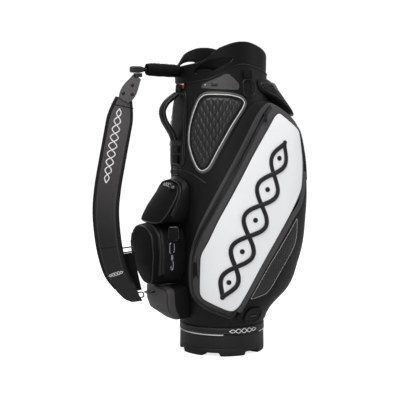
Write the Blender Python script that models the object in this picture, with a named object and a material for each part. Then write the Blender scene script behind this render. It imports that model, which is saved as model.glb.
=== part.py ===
"""Golf staff bag: a moulded boot, a fabric and leather body, stacked pockets, a six-way top cuff with
carry handles, a padded shoulder strap on a swivel, and the small hardware that hangs from it.

+Z is up and the origin is the middle of the underside of the boot. -X is the spine, where the strap,
the carry handle and the pouches are. +X is the front, with the ball pocket. A point of the bag's skin
is named by its bearing and its height: the bearing is in degrees from the spine (-X) towards -Y, and
the height is a share of HEIGHT.
"""

import math

import bmesh
import bpy
import numpy as np

# Overall sizes, in metres.
HEIGHT = 0.838  # underside of the feet to the highest point of the cuff
BODY_RADIUS = 0.116  # of the boot, which the body grows out of
BOOT_WALL = 0.0045
FOOT_HEIGHT = 0.009
HUB_RADIUS = 0.032
SHELL_WALL = 0.003
CUFF_WALL = 0.006
DIVIDER_WALL = 0.004
DIVIDER_DEPTH = 0.055
SIDE_BULGE = 1.0  # how far the side pockets stand out, as a share of their usual depth
FRONT_BULGE = 1.0  # the same for the ball pocket and the pocket above it
SPINE_POCKET_REACH = 1.7672 * BODY_RADIUS  # from the axis to the face of the pocket at the foot of the spine
LOWER_POUCH_REACH = 2.1552 * BODY_RADIUS
UPPER_POUCH_REACH = 1.8276 * BODY_RADIUS
POCKET_GAP = 0.0032  # between a pocket's back and the body
POCKET_LEAST = 0.003  # a pocket's thickness where it is shallowest
PANEL_GAP = 0.0014  # between an applied panel and the body
LEAF_GAP = 0.0026  # between an applied panel and the fuller skin of a pocket
PANEL_THICK = 0.0022
STRAP_WIDTH = 0.070
STRAP_THICK = 0.011
STRAP_AXIS_X = -0.247  # the line the strap swings about, behind the spine
WIRE = 0.0019  # radius of the wire rings
CLEAR = 0.0008  # between pieces that turn or slide on each other

# Horizontal sections of the body and of the pockets' outer surface: at each height (a share of HEIGHT)
# the reach to the front, to the back and to the side as shares of BODY_RADIUS, and how square it is.
LEVELS = np.array([0.101, 0.143, 0.203, 0.298, 0.418, 0.537, 0.656, 0.764, 0.835, 0.907])
BODY_FRONT = np.array([1.01, 1.035, 1.06, 1.085, 1.10, 1.10, 1.095, 1.08, 1.06, 1.03])
BODY_BACK = np.array([1.01, 1.04, 1.09, 1.12, 1.147, 1.155, 1.147, 1.11, 1.086, 1.045])
BODY_SIDE = np.array([1.01, 1.05, 1.095, 1.13, 1.155, 1.164, 1.155, 1.13, 1.095, 1.035])
SQUARENESS = np.array([2.0, 2.2, 2.4, 2.5, 2.5, 2.5, 2.5, 2.5, 2.3, 2.0])
POCKET_FRONT = np.array([1.01, 1.12, 1.52, 1.82, 1.98, 2.03, 1.97, 1.76, 1.41, 1.04])
POCKET_SIDE = np.array([1.01, 1.15, 1.28, 1.36, 1.40, 1.38, 1.32, 1.24, 1.16, 1.04])

# The cuff's rim and its seam with the body: bearing, share of HEIGHT.
RIM = [(0, .925), (20, .930), (35, .935), (44, .942), (56, .974), (68, .988), (82, .999), (98, 1.0),
       (113, .991), (130, .979), (150, .963), (180, .955)]
SEAM = [(0, .871), (27, .875), (50, .884), (65, .905), (81, .927), (94, .931), (112, .921), (150, .902),
        (180, .897)]
CUFF_HOLE = [(27, .8985), (41, .8975), (53, .906), (61, .919), (73, .934), (78, .943), (76.5, .951),
             (62, .949), (48, .941), (34, .922)]

# Pocket outlines on one side: bearing, share of HEIGHT. The base lies on the body, the face outside.
SIDE_BASE = [(118, .824), (132, .811), (152.5, .752), (153, .656), (150.5, .533), (130, .444),
             (108.5, .304), (86.5, .170), (77, .1135), (66, .127), (47, .143), (29, .172), (22.5, .212),
             (22.5, .313), (30, .420), (36, .495), (56, .606), (92, .797)]
SIDE_FACE = [(118, .810), (130, .800), (150, .745), (150.5, .656), (148, .537), (128.5, .450), (107, .308),
             (85, .175), (76, .121), (66, .135), (48.5, .151), (31, .180), (24, .216), (25, .311), (39, .405),
             (48, .447), (80, .631), (106, .770)]
BALL_BASE = [(180, .740), (156, .740), (155, .656), (152.5, .530), (132.5, .440), (111, .300), (89, .166),
             (80, .1155), (110, .108), (145, .107)]
BALL_FACE = [(180, .730), (158.5, .727), (157, .656), (154.5, .537), (134.5, .447), (113, .306), (91.5, .174),
             (86, .128), (112, .119), (145, .118)]
ACCESSORY_BASE = [(180, .757), (157, .763), (134, .824), (122, .836), (113, .850), (110, .884), (130, .886),
                  (155, .884)]
ACCESSORY_FACE = [(180, .768), (158, .773), (136, .831), (124.5, .843), (116, .855), (114, .873), (132, .876),
                  (155, .875)]
SPINE_POCKET = [(0, .112), (14, .114), (20.5, .132), (21, .190), (20.5, .222), (10, .2255), (0, .2255)]
LOWER_POUCH = [(0, .2290), (9, .233), (17, .285), (20, .345), (17.5, .395), (9, .420), (0, .4250)]
UPPER_POUCH_BASE = [(0, .430), (12, .430), (20, .434), (27, .475), (28, .540), (20, .567), (0, .576)]
UPPER_POUCH_FACE = [(0, .431), (11, .431), (18.5, .437), (23.5, .480), (24, .530), (17, .552), (0, .559)]
QUILT = [(44, .834), (60, .834), (74, .832), (87, .823), (91, .809), (89, .796), (74, .738), (60.5, .668),
         (50, .605), (43, .595), (38, .604), (31.5, .636), (25.5, .680), (25.5, .726), (30, .771), (37, .818)]
LEAF = [(126.5, .778), (146, .721), (146, .685), (145, .619), (141.5, .536), (126, .438), (102.5, .289),
        (83, .167), (77, .1525), (71.5, .153), (43, .190), (39.5, .207), (41.5, .318), (43, .335),
        (51.3, .378), (61, .444), (94, .636), (121, .765)]
TRIM = [(138.5, .452), (139, .377), (136.5, .344), (117.5, .218), (113.5, .201), (95.5, .186)]
SPINE_PANEL = [(0, .604), (11, .604), (17.5, .612), (18, .700), (18, .790), (16, .845), (0, .850)]

# How far the spine pocket and the two pouches reach, up their height: share of HEIGHT, share of the reach.
SPINE_REACH = [(.112, .78), (.150, .965), (.175, 1.0), (.222, 1.0)]
LOWER_REACH = [(.230, .90), (.300, .98), (.360, 1.0), (.424, .96)]
UPPER_REACH = [(.431, 1.05), (.475, .95), (.525, .82), (.574, .70)]

# The shoulder strap, seen from the side: distance behind the axis, height, in metres before scaling.
STRAP_LINE = [(-.287, .688), (-.297, .640), (-.308, .585), (-.321, .520), (-.333, .455), (-.3385, .400),
              (-.336, .345), (-.327, .285), (-.311, .232), (-.289, .196)]
STRAP_TWIST = [12, 14, 16, 18, 22, 26, 30, 34, 38, 42]
HANDLE_LINE = [(-.1378, .701), (-.150, .692), (-.167, .677), (-.177, .657), (-.173, .634), (-.160, .612),
               (-.150, .596), (-.1440, .578)]

tall = HEIGHT / 0.838
wide = BODY_RADIUS / 0.116


def material(name, colour, roughness, metallic=0.0):
    """A plain shaded material; the colour is given as sRGB hex."""
    def linear(part):
        value = int(part, 16) / 255
        return value / 12.92 if value <= 0.04045 else ((value + 0.055) / 1.055) ** 2.4
    made = bpy.data.materials.new(name)
    made.use_nodes = True
    shader = made.node_tree.nodes["Principled BSDF"]
    rgb = [linear(colour[i:i + 2]) for i in (1, 3, 5)]
    shader.inputs["Base Color"].default_value = (*rgb, 1.0)
    shader.inputs["Roughness"].default_value = roughness
    shader.inputs["Metallic"].default_value = metallic
    made.diffuse_color = (*rgb, 1.0)
    return made


def add(name, points, faces, look, pivot=(0.0, 0.0, 0.0)):
    """One closed body as an object whose origin is at the pivot, with its faces turned outwards."""
    points = np.asarray(points, float) - np.asarray(pivot, float)
    mesh = bpy.data.meshes.new(name)
    mesh.from_pydata([tuple(p) for p in points], [], [tuple(int(i) for i in f) for f in faces])
    work = bmesh.new()
    work.from_mesh(mesh)
    bmesh.ops.triangulate(work, faces=work.faces[:])
    bmesh.ops.recalc_face_normals(work, faces=work.faces[:])
    if work.calc_volume(signed=True) < 0:
        bmesh.ops.reverse_faces(work, faces=work.faces[:])
    work.to_mesh(mesh)
    work.free()
    mesh.materials.append(look)
    made = bpy.data.objects.new(name, mesh)
    made.location = pivot
    bpy.context.scene.collection.objects.link(made)
    return made


def bridge(first, second, count):
    """Faces between two rings of the same number of points."""
    return [(first + i, first + (i + 1) % count, second + (i + 1) % count, second + i) for i in range(count)]


def stack(name, rings, look, start=None, end=None, closed=False, pivot=(0.0, 0.0, 0.0)):
    """A body from rings of points in order. Each end is drawn to a point, covered flat, or joined round."""
    count = len(rings[0])
    points = [p for ring in rings for p in ring]
    faces = []
    for k in range(len(rings) - 1):
        faces += bridge(k * count, (k + 1) * count, count)
    last = (len(rings) - 1) * count
    if closed:
        faces += bridge(last, 0, count)
    else:
        for tip, ring in ((start, 0), (end, last)):
            if tip is None:
                faces.append([ring + i for i in range(count)])
            else:
                points.append(tip)
                faces += [(ring + i, ring + (i + 1) % count, len(points) - 1) for i in range(count)]
    return add(name, points, faces, look, pivot)


def place(bearing, radius, z):
    """Points from bearings in degrees, distances from the axis and heights."""
    angle = np.radians(bearing)
    parts = np.broadcast_arrays(-radius * np.cos(angle), -radius * np.sin(angle), z)
    return np.stack(parts, -1)


def section_radius(bearing, z, front, back, side, square):
    """Distance from the axis to a rounded-square section, found by halving."""
    angle = np.radians(bearing)
    centre = (front - back) / 2
    half = (front + back) / 2
    low = np.zeros(np.shape(angle + z))
    high = low + 4 * BODY_RADIUS
    for _ in range(36):
        middle = (low + high) / 2
        size = np.abs((-middle * np.cos(angle) - centre) / half) ** square
        size = size + np.abs(middle * np.sin(angle) / side) ** square
        low = np.where(size < 1, middle, low)
        high = np.where(size < 1, high, middle)
    return (low + high) / 2


def level(table, z):
    return np.interp(np.asarray(z, float) / HEIGHT, LEVELS, table)


def body_radius(bearing, z):
    """The body's outer skin."""
    bearing, z = np.broadcast_arrays(np.asarray(bearing, float), np.asarray(z, float))
    sizes = [level(t, z) * BODY_RADIUS for t in (BODY_FRONT, BODY_BACK, BODY_SIDE)]
    return section_radius(bearing, z, *sizes, level(SQUARENESS, z))


def pocket_radius(bearing, z):
    """The outer faces of the side and front pockets."""
    bearing, z = np.broadcast_arrays(np.asarray(bearing, float), np.asarray(z, float))
    front = level(BODY_FRONT + (POCKET_FRONT - BODY_FRONT) * FRONT_BULGE, z) * BODY_RADIUS
    side = level(BODY_SIDE + (POCKET_SIDE - BODY_SIDE) * SIDE_BULGE, z) * BODY_RADIUS
    back = level(BODY_BACK, z) * BODY_RADIUS
    shallow = body_radius(bearing, z) + POCKET_GAP + POCKET_LEAST
    return np.maximum(section_radius(bearing, z, front, back, side, level(SQUARENESS, z)), shallow)


def plane_radius(reach):
    """A slightly bowed face across the spine, that far behind the axis."""
    def radius(bearing, z):
        bearing = np.asarray(bearing, float)
        return reach(np.asarray(z, float)) * (1 + 0.35 * (1 / np.cos(np.radians(bearing)) - 1))
    return radius


def outline(corners, mirror=False, both=False, like=None):
    """Corner list to a rounded closed outline of (bearing, z); `both` adds the half across the middle plane.

    Long sides are divided so that the outline can follow a curved skin; an outline made `like` another
    is divided in the same places, so that the two can be joined point for point.
    """
    def whole(table):
        line = [(a, s * HEIGHT) for a, s in table]
        if both:
            middle = line[0][0]
            ends = [p for p in line[1:] if p[0] != middle]
            closing = [p for p in line[1:] if p[0] == middle]
            line = [line[0], *ends, *closing, *[(2 * middle - a, z) for a, z in reversed(ends)]]
        return np.array(line)

    line = whole(corners)
    guide = line if like is None else whole(like)
    spans = np.abs(np.roll(guide, -1, axis=0) - guide)[:, 0]
    points = []
    for here, ahead, span in zip(line, np.roll(line, -1, axis=0), spans):
        steps = max(1, int(span // 13))
        points.append(0.78 * here + 0.22 * ahead)
        points += [here + (ahead - here) * k / steps for k in range(1, steps)]
        points.append(0.22 * here + 0.78 * ahead)
    line = np.array(points)
    if mirror:
        line = line * (-1, 1)
    return line


def pad(name, base, face, inner, outer, look, rings=7, least=POCKET_LEAST, edge=0.007):
    """A stuffed patch: its back follows `inner` within the base outline, its face follows `outer`."""
    middle = face.mean(0)

    def skin(line, function, extra=0.0):
        radius = function(line[:, 0], line[:, 1])
        return place(line[:, 0], radius + extra, line[:, 1])

    def out(line, drop):
        back = inner(line[:, 0], line[:, 1])
        front = outer(line[:, 0], line[:, 1])
        depth = np.maximum(front - back, least)
        return place(line[:, 0], back + depth - np.minimum(drop, 0.45 * depth), line[:, 1])

    shares = np.linspace(0, 1, rings + 1)[1:]
    loops = [skin(middle + (base - middle) * s, inner) for s in shares]
    half = (base + face) / 2
    back = inner(half[:, 0], half[:, 1])
    depth = np.maximum(outer(half[:, 0], half[:, 1]) - back, least)
    loops.append(place(half[:, 0], back + 0.55 * depth, half[:, 1]))
    loops.append(out(face, edge))
    loops.append(out(middle + (face - middle) * 0.955, edge * 0.25))
    loops += [out(middle + (face - middle) * s * 0.9, 0.0) for s in shares[::-1]]
    tips = middle[None, :]
    return stack(name, loops, look, skin(tips, inner)[0], out(tips, 0.0)[0])


def applied(name, corners, lies_on, look, mirror=False, both=False, thick=PANEL_THICK, rings=7,
            gap=PANEL_GAP):
    """A thin panel lying on a surface."""
    line = outline(corners, mirror, both)

    def under(bearing, z):
        return lies_on(bearing, z) + gap

    def over(bearing, z):
        return lies_on(bearing, z) + gap + thick

    return pad(name, line, line, under, over, look, rings, least=thick, edge=0.0006)


def section(width, thick):
    """A rounded flat section, as (across, through) pairs."""
    a = width / 2
    b = thick / 2
    c = min(a, b) * 0.6
    upper = [(a, b - c), (a - c, b), (c - a, b), (-a, b - c)]
    return upper + [(-x, -y) for x, y in upper]


def round_section(radius, count=6):
    steps = [2 * math.pi * i / count for i in range(count)]
    return [(radius * math.cos(t), radius * math.sin(t)) for t in steps]


def sweep(name, path, across, shape, look, closed=False, pivot=(0.0, 0.0, 0.0)):
    """The shape carried along the path; `across` gives the direction of its first coordinate."""
    path = np.asarray(path, float)
    across = np.broadcast_to(np.asarray(across, float), path.shape)
    if closed:
        along = np.roll(path, -1, 0) - np.roll(path, 1, 0)
    else:
        along = np.gradient(path, axis=0)
    along = along / np.linalg.norm(along, axis=1)[:, None]
    side = across - along * (across * along).sum(1)[:, None]
    side = side / np.linalg.norm(side, axis=1)[:, None]
    through = np.cross(along, side)
    loops = [[p + s * a + t * b for a, b in shape] for p, s, t in zip(path, side, through)]
    return stack(name, loops, look, closed=closed, pivot=pivot)


def unit(vector):
    vector = np.asarray(vector, float)
    return vector / np.linalg.norm(vector)


def block(name, centre, axes, sizes, look, pivot=(0.0, 0.0, 0.0), chamfer=0.2):
    """A box with softened long edges; `axes` are its three directions, the third along its length."""
    x, y, z = (unit(a) for a in axes)
    shape = section(sizes[0], sizes[1])
    ends = [np.asarray(centre) + z * sizes[2] * s for s in (-0.5, 0.5)]
    loops = []
    inset = min(sizes) * chamfer
    for end, sign in zip(ends, (1, -1)):
        small = [(a * (1 - 2 * inset / sizes[0]), b * (1 - 2 * inset / sizes[1])) for a, b in shape]
        tip = [end + x * a + y * b for a, b in small]
        shoulder = [end + z * sign * inset + x * a + y * b for a, b in shape]
        pair = [tip, shoulder]
        loops += pair if sign == 1 else pair[::-1]
    return stack(name, loops, look, pivot=pivot)


def loop_path(centre, x, y, width, height, corner, steps=3):
    """A rounded rectangle of points in the plane of x and y."""
    points = []
    for k, (sx, sy) in enumerate(((1, 1), (-1, 1), (-1, -1), (1, -1))):
        for i in range(steps + 1):
            t = math.pi / 2 * (k + i / steps)
            a = sx * (width / 2 - corner) + corner * math.cos(t)
            b = sy * (height / 2 - corner) + corner * math.sin(t)
            points.append(np.asarray(centre) + np.asarray(x) * a + np.asarray(y) * b)
    return points


def wire_loop(name, centre, x, y, width, height, corner, look, radius=WIRE, pivot=(0.0, 0.0, 0.0), steps=3):
    x = unit(x)
    y = unit(y)
    path = loop_path(centre, x, y, width, height, corner, steps)
    return sweep(name, path, np.cross(x, y), round_section(radius), look, closed=True, pivot=pivot)


def cut(target, cutter, operation="DIFFERENCE"):
    """Applies a boolean for good and removes the tool."""
    change = target.modifiers.new("cut", "BOOLEAN")
    change.operation = operation
    change.solver = "EXACT"
    change.object = cutter
    bpy.context.view_layer.update()
    graph = bpy.context.evaluated_depsgraph_get()
    made = bpy.data.meshes.new_from_object(target.evaluated_get(graph))
    target.modifiers.clear()
    target.data = made
    bpy.data.objects.remove(cutter)
    work = bmesh.new()
    work.from_mesh(made)
    bmesh.ops.triangulate(work, faces=work.faces[:])
    bmesh.ops.remove_doubles(work, verts=work.verts[:], dist=0.00002)
    work.to_mesh(made)
    work.free()


def around(table, bearing):
    """A height from a one-sided table, the same on both sides of the bag."""
    known = np.array(table, float)
    return np.interp(np.abs(bearing), known[:, 0], known[:, 1]) * HEIGHT


# ---------------------------------------------------------------- boot and body

def build_base(looks):
    """Boot pan with feet and a middle hub, white piping, and the collar that grips the body."""
    count = 48
    bearing = (np.arange(count) + 0.6) * 360.0 / count
    foot = (np.arange(count) % 8) < 5
    lift = np.where(foot, 0.0, FOOT_HEIGHT)
    outer = BODY_RADIUS
    top = 0.0675 * HEIGHT
    profile = [(HUB_RADIUS, 0.0), (HUB_RADIUS + 0.003, FOOT_HEIGHT), (0.74 * outer, FOOT_HEIGHT),
               (0.76 * outer, lift), (outer - 0.004, lift), (outer, lift + 0.004), (outer, top),
               (outer - BOOT_WALL, top), (outer - BOOT_WALL, FOOT_HEIGHT + 0.006),
               (0.3 * outer, FOOT_HEIGHT + 0.006)]
    loops = [place(bearing, np.full(count, r), np.broadcast_to(z, count)) for r, z in profile]
    stack("base_boot", loops, looks["rubber"], (0, 0, 0.0), (0, 0, FOOT_HEIGHT + 0.006))
    z = 0.0700 * HEIGHT
    circle = place(np.arange(36) * 10.0, outer + 0.0002, z)
    sweep("base_piping", circle, (0, 0, 1), round_section(0.0016, 5), looks["piping"], closed=True)
    bearing = np.arange(48) * 7.5
    low = z + 0.0022
    high = 0.0935 * HEIGHT
    profile = [(outer - 0.0042, low), (outer - 0.0004, low), (outer + 0.0008, low + 0.002),
               (outer + 0.0008, high - 0.003), (outer - 0.001, high), (outer - 0.0042, high)]
    loops = [place(bearing, r, h) for r, h in profile]
    stack("base_collar", loops, looks["rubber"], closed=True)


def build_shell(looks):
    """The body's tube, standing inside the boot and ending under the cuff's seam."""
    count = 52
    bearing = (np.arange(count) + 0.5) * 360.0 / count
    folded = np.minimum(bearing, 360 - bearing)
    seam = around(SEAM, folded) - CLEAR
    inside = BODY_RADIUS - BOOT_WALL - CLEAR
    stations = [0.0195, 0.0940 * HEIGHT]
    outer = [place(bearing, np.full(count, inside), z) for z in stations]
    heights = [0.103, 0.143, 0.203, 0.298, 0.418, 0.537, 0.656, 0.764, 0.835]
    outer += [place(bearing, body_radius(bearing, s * HEIGHT), s * HEIGHT) for s in heights]
    outer.append(place(bearing, body_radius(bearing, seam), seam))
    inner = []
    for ring in outer[::-1]:
        flat = np.hypot(ring[:, 0], ring[:, 1])
        shrink = ((flat - SHELL_WALL) / flat)[:, None]
        inner.append(ring * np.concatenate([shrink, shrink, np.ones_like(shrink)], 1))
    stack("body_shell", outer + inner, looks["shell"], closed=True)


def cuff_radius(bearing, z, extra=0.0):
    """The cuff's outside, a little long towards the spine."""
    front = 1.026 * BODY_RADIUS + extra
    back = 1.121 * BODY_RADIUS + extra
    side = 1.056 * BODY_RADIUS + extra
    return section_radius(np.asarray(bearing, float), 0.0 * np.asarray(z, float), front, back, side, 2.0)


def build_cuff(looks):
    """Moulded cuff: a wall whose rim rises at both sides, with a hand hole under each rise."""
    count = 52
    bearing = (np.arange(count) + 0.5) * 360.0 / count
    folded = np.minimum(bearing, 360 - bearing)
    low = around(SEAM, folded)
    high = around(RIM, folded)
    span = high - low
    wall = CUFF_WALL
    profile = [(-wall, 0.0, 0.0), (-0.001, 0.0, 0.0), (0.0, 0.003, 0.0), (0.001, 0.0, 0.5),
               (0.0005, -0.003, 1.0), (-0.0015, -0.0005, 1.0), (-wall + 0.0015, 0.0, 1.0),
               (-wall, -0.0025, 1.0), (-wall, 0.0, 0.5)]
    loops = []
    for out, up, share in profile:
        z = low + span * share + up
        loops.append(place(bearing, cuff_radius(bearing, z, out), z))
    cuff = stack("top_cuff", loops, looks["cuff"], closed=True)
    for sign in (1, -1):
        line = outline(CUFF_HOLE, mirror=sign < 0)
        near = cuff_radius(line[:, 0], line[:, 1], -0.03)
        far = cuff_radius(line[:, 0], line[:, 1], 0.03)
        loops = [place(line[:, 0], radius, line[:, 1]) for radius in (near, far)]
        cut(cuff, stack("hole", loops, looks["cuff"]))


def build_divider(looks):
    """Six-way club divider: an oval band with one long bar and two cross bars, all one moulding."""
    count = 40
    bearing = (np.arange(count) + 0.5) * 360.0 / count
    top = 0.868 * HEIGHT
    low = top - DIVIDER_DEPTH
    reach = body_radius(bearing, np.full(count, 0.868 * HEIGHT)) - SHELL_WALL - 0.003
    corners = [(0.0, low), (0.0, top), (-DIVIDER_WALL, top), (-DIVIDER_WALL, low)]
    loops = [place(bearing, reach + d, z) for d, z in corners]
    band = stack("divider_frame", loops, looks["divider"], closed=True)
    middle = (top + low) / 2
    spread = 0.345 * BODY_RADIUS
    bars = [((-0.013 * BODY_RADIUS, 0, middle), (1, 0, 0), 1.948 * BODY_RADIUS)]
    bars += [((s * spread, 0, middle), (0, 1, 0), 1.81 * BODY_RADIUS) for s in (-1, 1)]
    for centre, along, length in bars:
        along = np.array(along, float)
        across = np.cross(along, (0, 0, 1))
        half = [(-0.5, -0.5), (0.5, -0.5), (0.5, 0.5), (-0.5, 0.5)]
        tall_bar = DIVIDER_DEPTH - 0.0006
        loops = []
        for end in (-0.5, 0.5):
            loops.append([np.array(centre) + along * end * length + across * a * DIVIDER_WALL
                          + np.array((0, 0, 1)) * b * tall_bar for a, b in half])
        cut(band, stack("bar", loops, looks["divider"]), "UNION")


# ---------------------------------------------------------------- pockets and panels

def back_of(gap=POCKET_GAP):
    return lambda bearing, z: body_radius(bearing, z) + gap


def build_pockets(looks):
    """Side pockets with their white leaf panels, the front pockets, and the panels laid on them."""
    for side, mirror in (("right", False), ("left", True)):
        base = outline(SIDE_BASE, mirror)
        face = outline(SIDE_FACE, mirror, like=SIDE_BASE)
        pad("side_pocket_" + side, base, face, back_of(), pocket_radius, looks["leather"], rings=6)
        applied("leaf_panel_" + side, LEAF, pocket_radius, looks["white"], mirror, rings=5, gap=LEAF_GAP)
        applied("quilted_panel_" + side, QUILT, body_radius, looks["quilted"], mirror, thick=0.004, rings=4)
        applied("trim_panel_" + side, TRIM, pocket_radius, looks["quilted"], mirror, rings=3, gap=LEAF_GAP)
    for name, base, face, rings in (("ball_pocket", BALL_BASE, BALL_FACE, 7),
                                    ("accessory_pocket", ACCESSORY_BASE, ACCESSORY_FACE, 6)):
        pad(name, outline(base, both=True), outline(face, both=True, like=base), back_of(), pocket_radius,
            looks["leather"], rings=rings)
    applied("spine_panel", SPINE_PANEL, body_radius, looks["leather"], both=True, rings=3)


def pouch_reach(stations, reach):
    """How far back a pouch's face stands at each height."""
    known = np.array(stations, float)
    return lambda z: reach * np.interp(z / HEIGHT, known[:, 0], known[:, 1])


def build_pouches(looks):
    """The pocket at the foot of the spine and the two pouches stacked above it."""
    low = plane_radius(pouch_reach(SPINE_REACH, SPINE_POCKET_REACH))
    line = outline(SPINE_POCKET, both=True)
    pad("spine_pocket", line, line, back_of(), low, looks["leather"], rings=4, edge=0.010)
    middle = plane_radius(pouch_reach(LOWER_REACH, LOWER_POUCH_REACH))
    line = outline(LOWER_POUCH, both=True)
    pad("lower_pouch", line, line, back_of(), middle, looks["black"], rings=4, edge=0.012)
    top = plane_radius(pouch_reach(UPPER_REACH, UPPER_POUCH_REACH))
    base = outline(UPPER_POUCH_BASE, both=True)
    face = outline(UPPER_POUCH_FACE, both=True, like=UPPER_POUCH_BASE)
    pad("upper_pouch", base, face, back_of(), top, looks["black"], rings=4, edge=0.008)


# ---------------------------------------------------------------- carry handle, rings and tabs

def frame_at(bearing, share, function, out=0.0):
    """A point on a surface with its outward, level and upward directions."""
    z = share * HEIGHT
    step = 0.5
    here = place(bearing, function(bearing, z), z)
    beside = [place(b, function(b, z), z) for b in (bearing - step, bearing + step)]
    above = [place(bearing, function(bearing, h), h) for h in (z - 0.004, z + 0.004)]
    side = unit(beside[1] - beside[0])
    rise = above[1] - above[0]
    rise = unit(rise - side * (rise @ side))
    normal = np.cross(side, rise)
    if normal @ place(bearing, 1.0, 0.0) < 0:
        normal = -normal
    return here + normal * out, normal, side, rise


def scaled(points):
    """Side-view points to places in the middle plane, scaled with the bag."""
    return [(x * wide, 0.0, z * tall) for x, z in points]


def build_handle(looks):
    """Carry handle on the spine, its two sewn-on tabs, and the square ring below it."""
    path = scaled(HANDLE_LINE)
    sweep("grab_handle", path, (0, 1, 0), section(0.025, 0.011), looks["leather"])
    for name, share in (("handle_tab_upper", .852), ("handle_tab_lower", .668)):
        centre, normal, side, rise = frame_at(0.0, share, body_radius, 0.0058)
        if share < .7:
            centre = centre - rise * 0.006
        else:
            centre = centre + rise * 0.003
        block(name, centre, (side, normal, rise), (0.034, 0.0030, 0.020), looks["webbing"])
    centre, normal, side, rise = frame_at(0.0, .609, body_radius, 0.0072)
    wire_loop("spine_ring", centre - rise * 0.010, side, rise, 0.040, 0.030, 0.005, looks["dark_metal"],
              radius=0.0017)
    seat = centre + rise * 0.018
    block("spine_ring_tab", seat, (side, normal, rise), (0.030, 0.0030, 0.022), looks["webbing"])


def hanging_ring(name, tab_name, bearing, share, function, width, height, looks, look):
    """A ring that swings out from a webbing tab; the hinge runs along the ring's top bar."""
    centre, normal, side, rise = frame_at(bearing, share, function, 0.0062)
    pivot = tuple(centre)
    wire_loop(name, centre - rise * height / 2, side, rise, width, height, 0.35 * width, look, pivot=pivot)
    place_tab = centre + rise * (WIRE + CLEAR + 0.011)
    block(tab_name, place_tab, (side, normal, rise), (0.72 * width, 0.0026, 0.021), looks["webbing"])


def build_rings(looks):
    """Towel ring under the cuff, the ring and snap hook on the pouches' side, and the drain patch."""
    hanging_ring("towel_ring", "towel_ring_tab", 96.0, .880, body_radius, 0.036, 0.044, looks,
                 looks["dark_metal"])
    base = np.array((-0.186 * wide, -0.0835 * wide, 0.318 * tall))
    face = ((0.90, -0.44, 0.0), (0.44, 0.90, 0.0), (0.0, 0.0, 1.0))
    block("clip_tab", base + np.array((0.006, 0.003, 0.018)), face, (0.026, 0.0026, 0.034), looks["webbing"])
    across = unit((0.80, 0.60, 0.0))
    up = np.array((0.0, 0.0, 1.0))
    top = base + np.array((0.0, 0.0, -0.0045))
    wire_loop("clip_ring", top - up * 0.015, across, up, 0.024, 0.030, 0.010, looks["metal"], radius=0.0018,
              pivot=tuple(top))
    low = top - up * 0.0330
    block("clip_hook", low - up * 0.021, (across, np.cross(up, across), up), (0.013, 0.009, 0.044),
          looks["metal"], pivot=tuple(low))
    centre, normal, across, rise = frame_at(103.0, .1330, pocket_radius, 0.0031)
    line = loop_path(centre, across, rise, 0.056, 0.050, 0.022)
    loops = [[p + normal * lift for p in line] for lift in (-0.0008, 0.0008)]
    stack("drain_patch_right", loops, looks["black"])


# ---------------------------------------------------------------- shoulder strap

def build_strap(looks):
    """Padded strap hung from a swivel at the end of a sleeve, and hooked low on the spine pocket."""
    axis = STRAP_AXIS_X * wide
    high = 0.765 * tall
    pivot = (axis, 0.0, high)
    path = np.array(scaled(STRAP_LINE))
    turn = np.radians(STRAP_TWIST)
    level_across = np.stack([np.cos(turn), -np.sin(turn), 0 * turn], 1)
    sweep("strap_pad", path, level_across, section(STRAP_WIDTH, STRAP_THICK), looks["strap"], pivot=pivot)
    along = unit(path[0] - path[1])
    across = unit(level_across[0] - along * (level_across[0] @ along))
    normal = unit(np.cross(across, along))
    if normal[1] > 0:
        normal = -normal
    lift = STRAP_THICK / 2 + 0.0008 + 0.0022
    start = path[0] - along * 0.004 + normal * lift
    end = np.array((axis - 0.004, 0.0, high - 0.023)) + normal * 0.001
    mids = [start, start + (end - start) * 0.35, start + (end - start) * 0.75, end]
    shapes = [(0.036, 0.0042), (0.042, 0.0042), (0.032, 0.0042), (0.022, 0.0042)]
    loops = []
    heading = unit(end - start)
    side = unit(across - heading * (across @ heading))
    face = unit(np.cross(heading, side))
    for point, (w, t) in zip(mids, shapes):
        loops.append([point + side * a + face * b for a, b in section(w, t)])
    stack("strap_yoke", loops, looks["strap"], pivot=pivot)
    if face @ normal < 0:
        face = -face
    spots = [(0.64, 0.0), (0.34, 0.011), (0.20, -0.010)]
    for number, (share, off) in enumerate(spots, 1):
        seat = start + (end - start) * share + side * off + face * (0.0021 + 0.0016)
        rim = [seat + side * a + np.cross(face, side) * b for a, b in round_section(0.0034, 10)]
        under = [p - face * 0.0012 for p in rim]
        top_ring = [seat + (p - seat) * 0.7 + face * 0.0012 for p in rim]
        stack("yoke_screw_%d" % number, [under, rim, top_ring], looks["metal"], pivot=pivot)
    neck_low = high - 0.0185
    block("strap_neck", (axis, 0, (neck_low + high - 0.0098) / 2), ((1, 0, 0), (0, 1, 0), (0, 0, 1)),
          (0.020, 0.014, high - 0.0098 - neck_low), looks["dark_metal"], pivot=pivot)
    block("strap_swivel", (axis + 0.001, 0, high), ((0, 1, 0), (0, 0, 1), (1, 0, 0)), (0.020, 0.018, 0.042),
          looks["hard_plastic"])
    low = np.array((axis + 0.024, 0.0, high + 0.001 * tall))
    far = np.array((-cuff_radius(0.0, 0.9, 0.0) - 0.0012, 0.0, high - 0.002))
    spine = [low + (far - low) * s for s in (0.0, 0.06, 0.2, 0.5, 0.8, 0.94, 1.0)]
    radii = [0.011, 0.0150, 0.0168, 0.0172, 0.0168, 0.0150, 0.012]
    loops = []
    for point, radius in zip(spine, radii):
        loops.append([point + np.array((0, a, b)) for a, b in round_section(radius, 16)])
    stack("strap_sleeve", loops, looks["black"])


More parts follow.
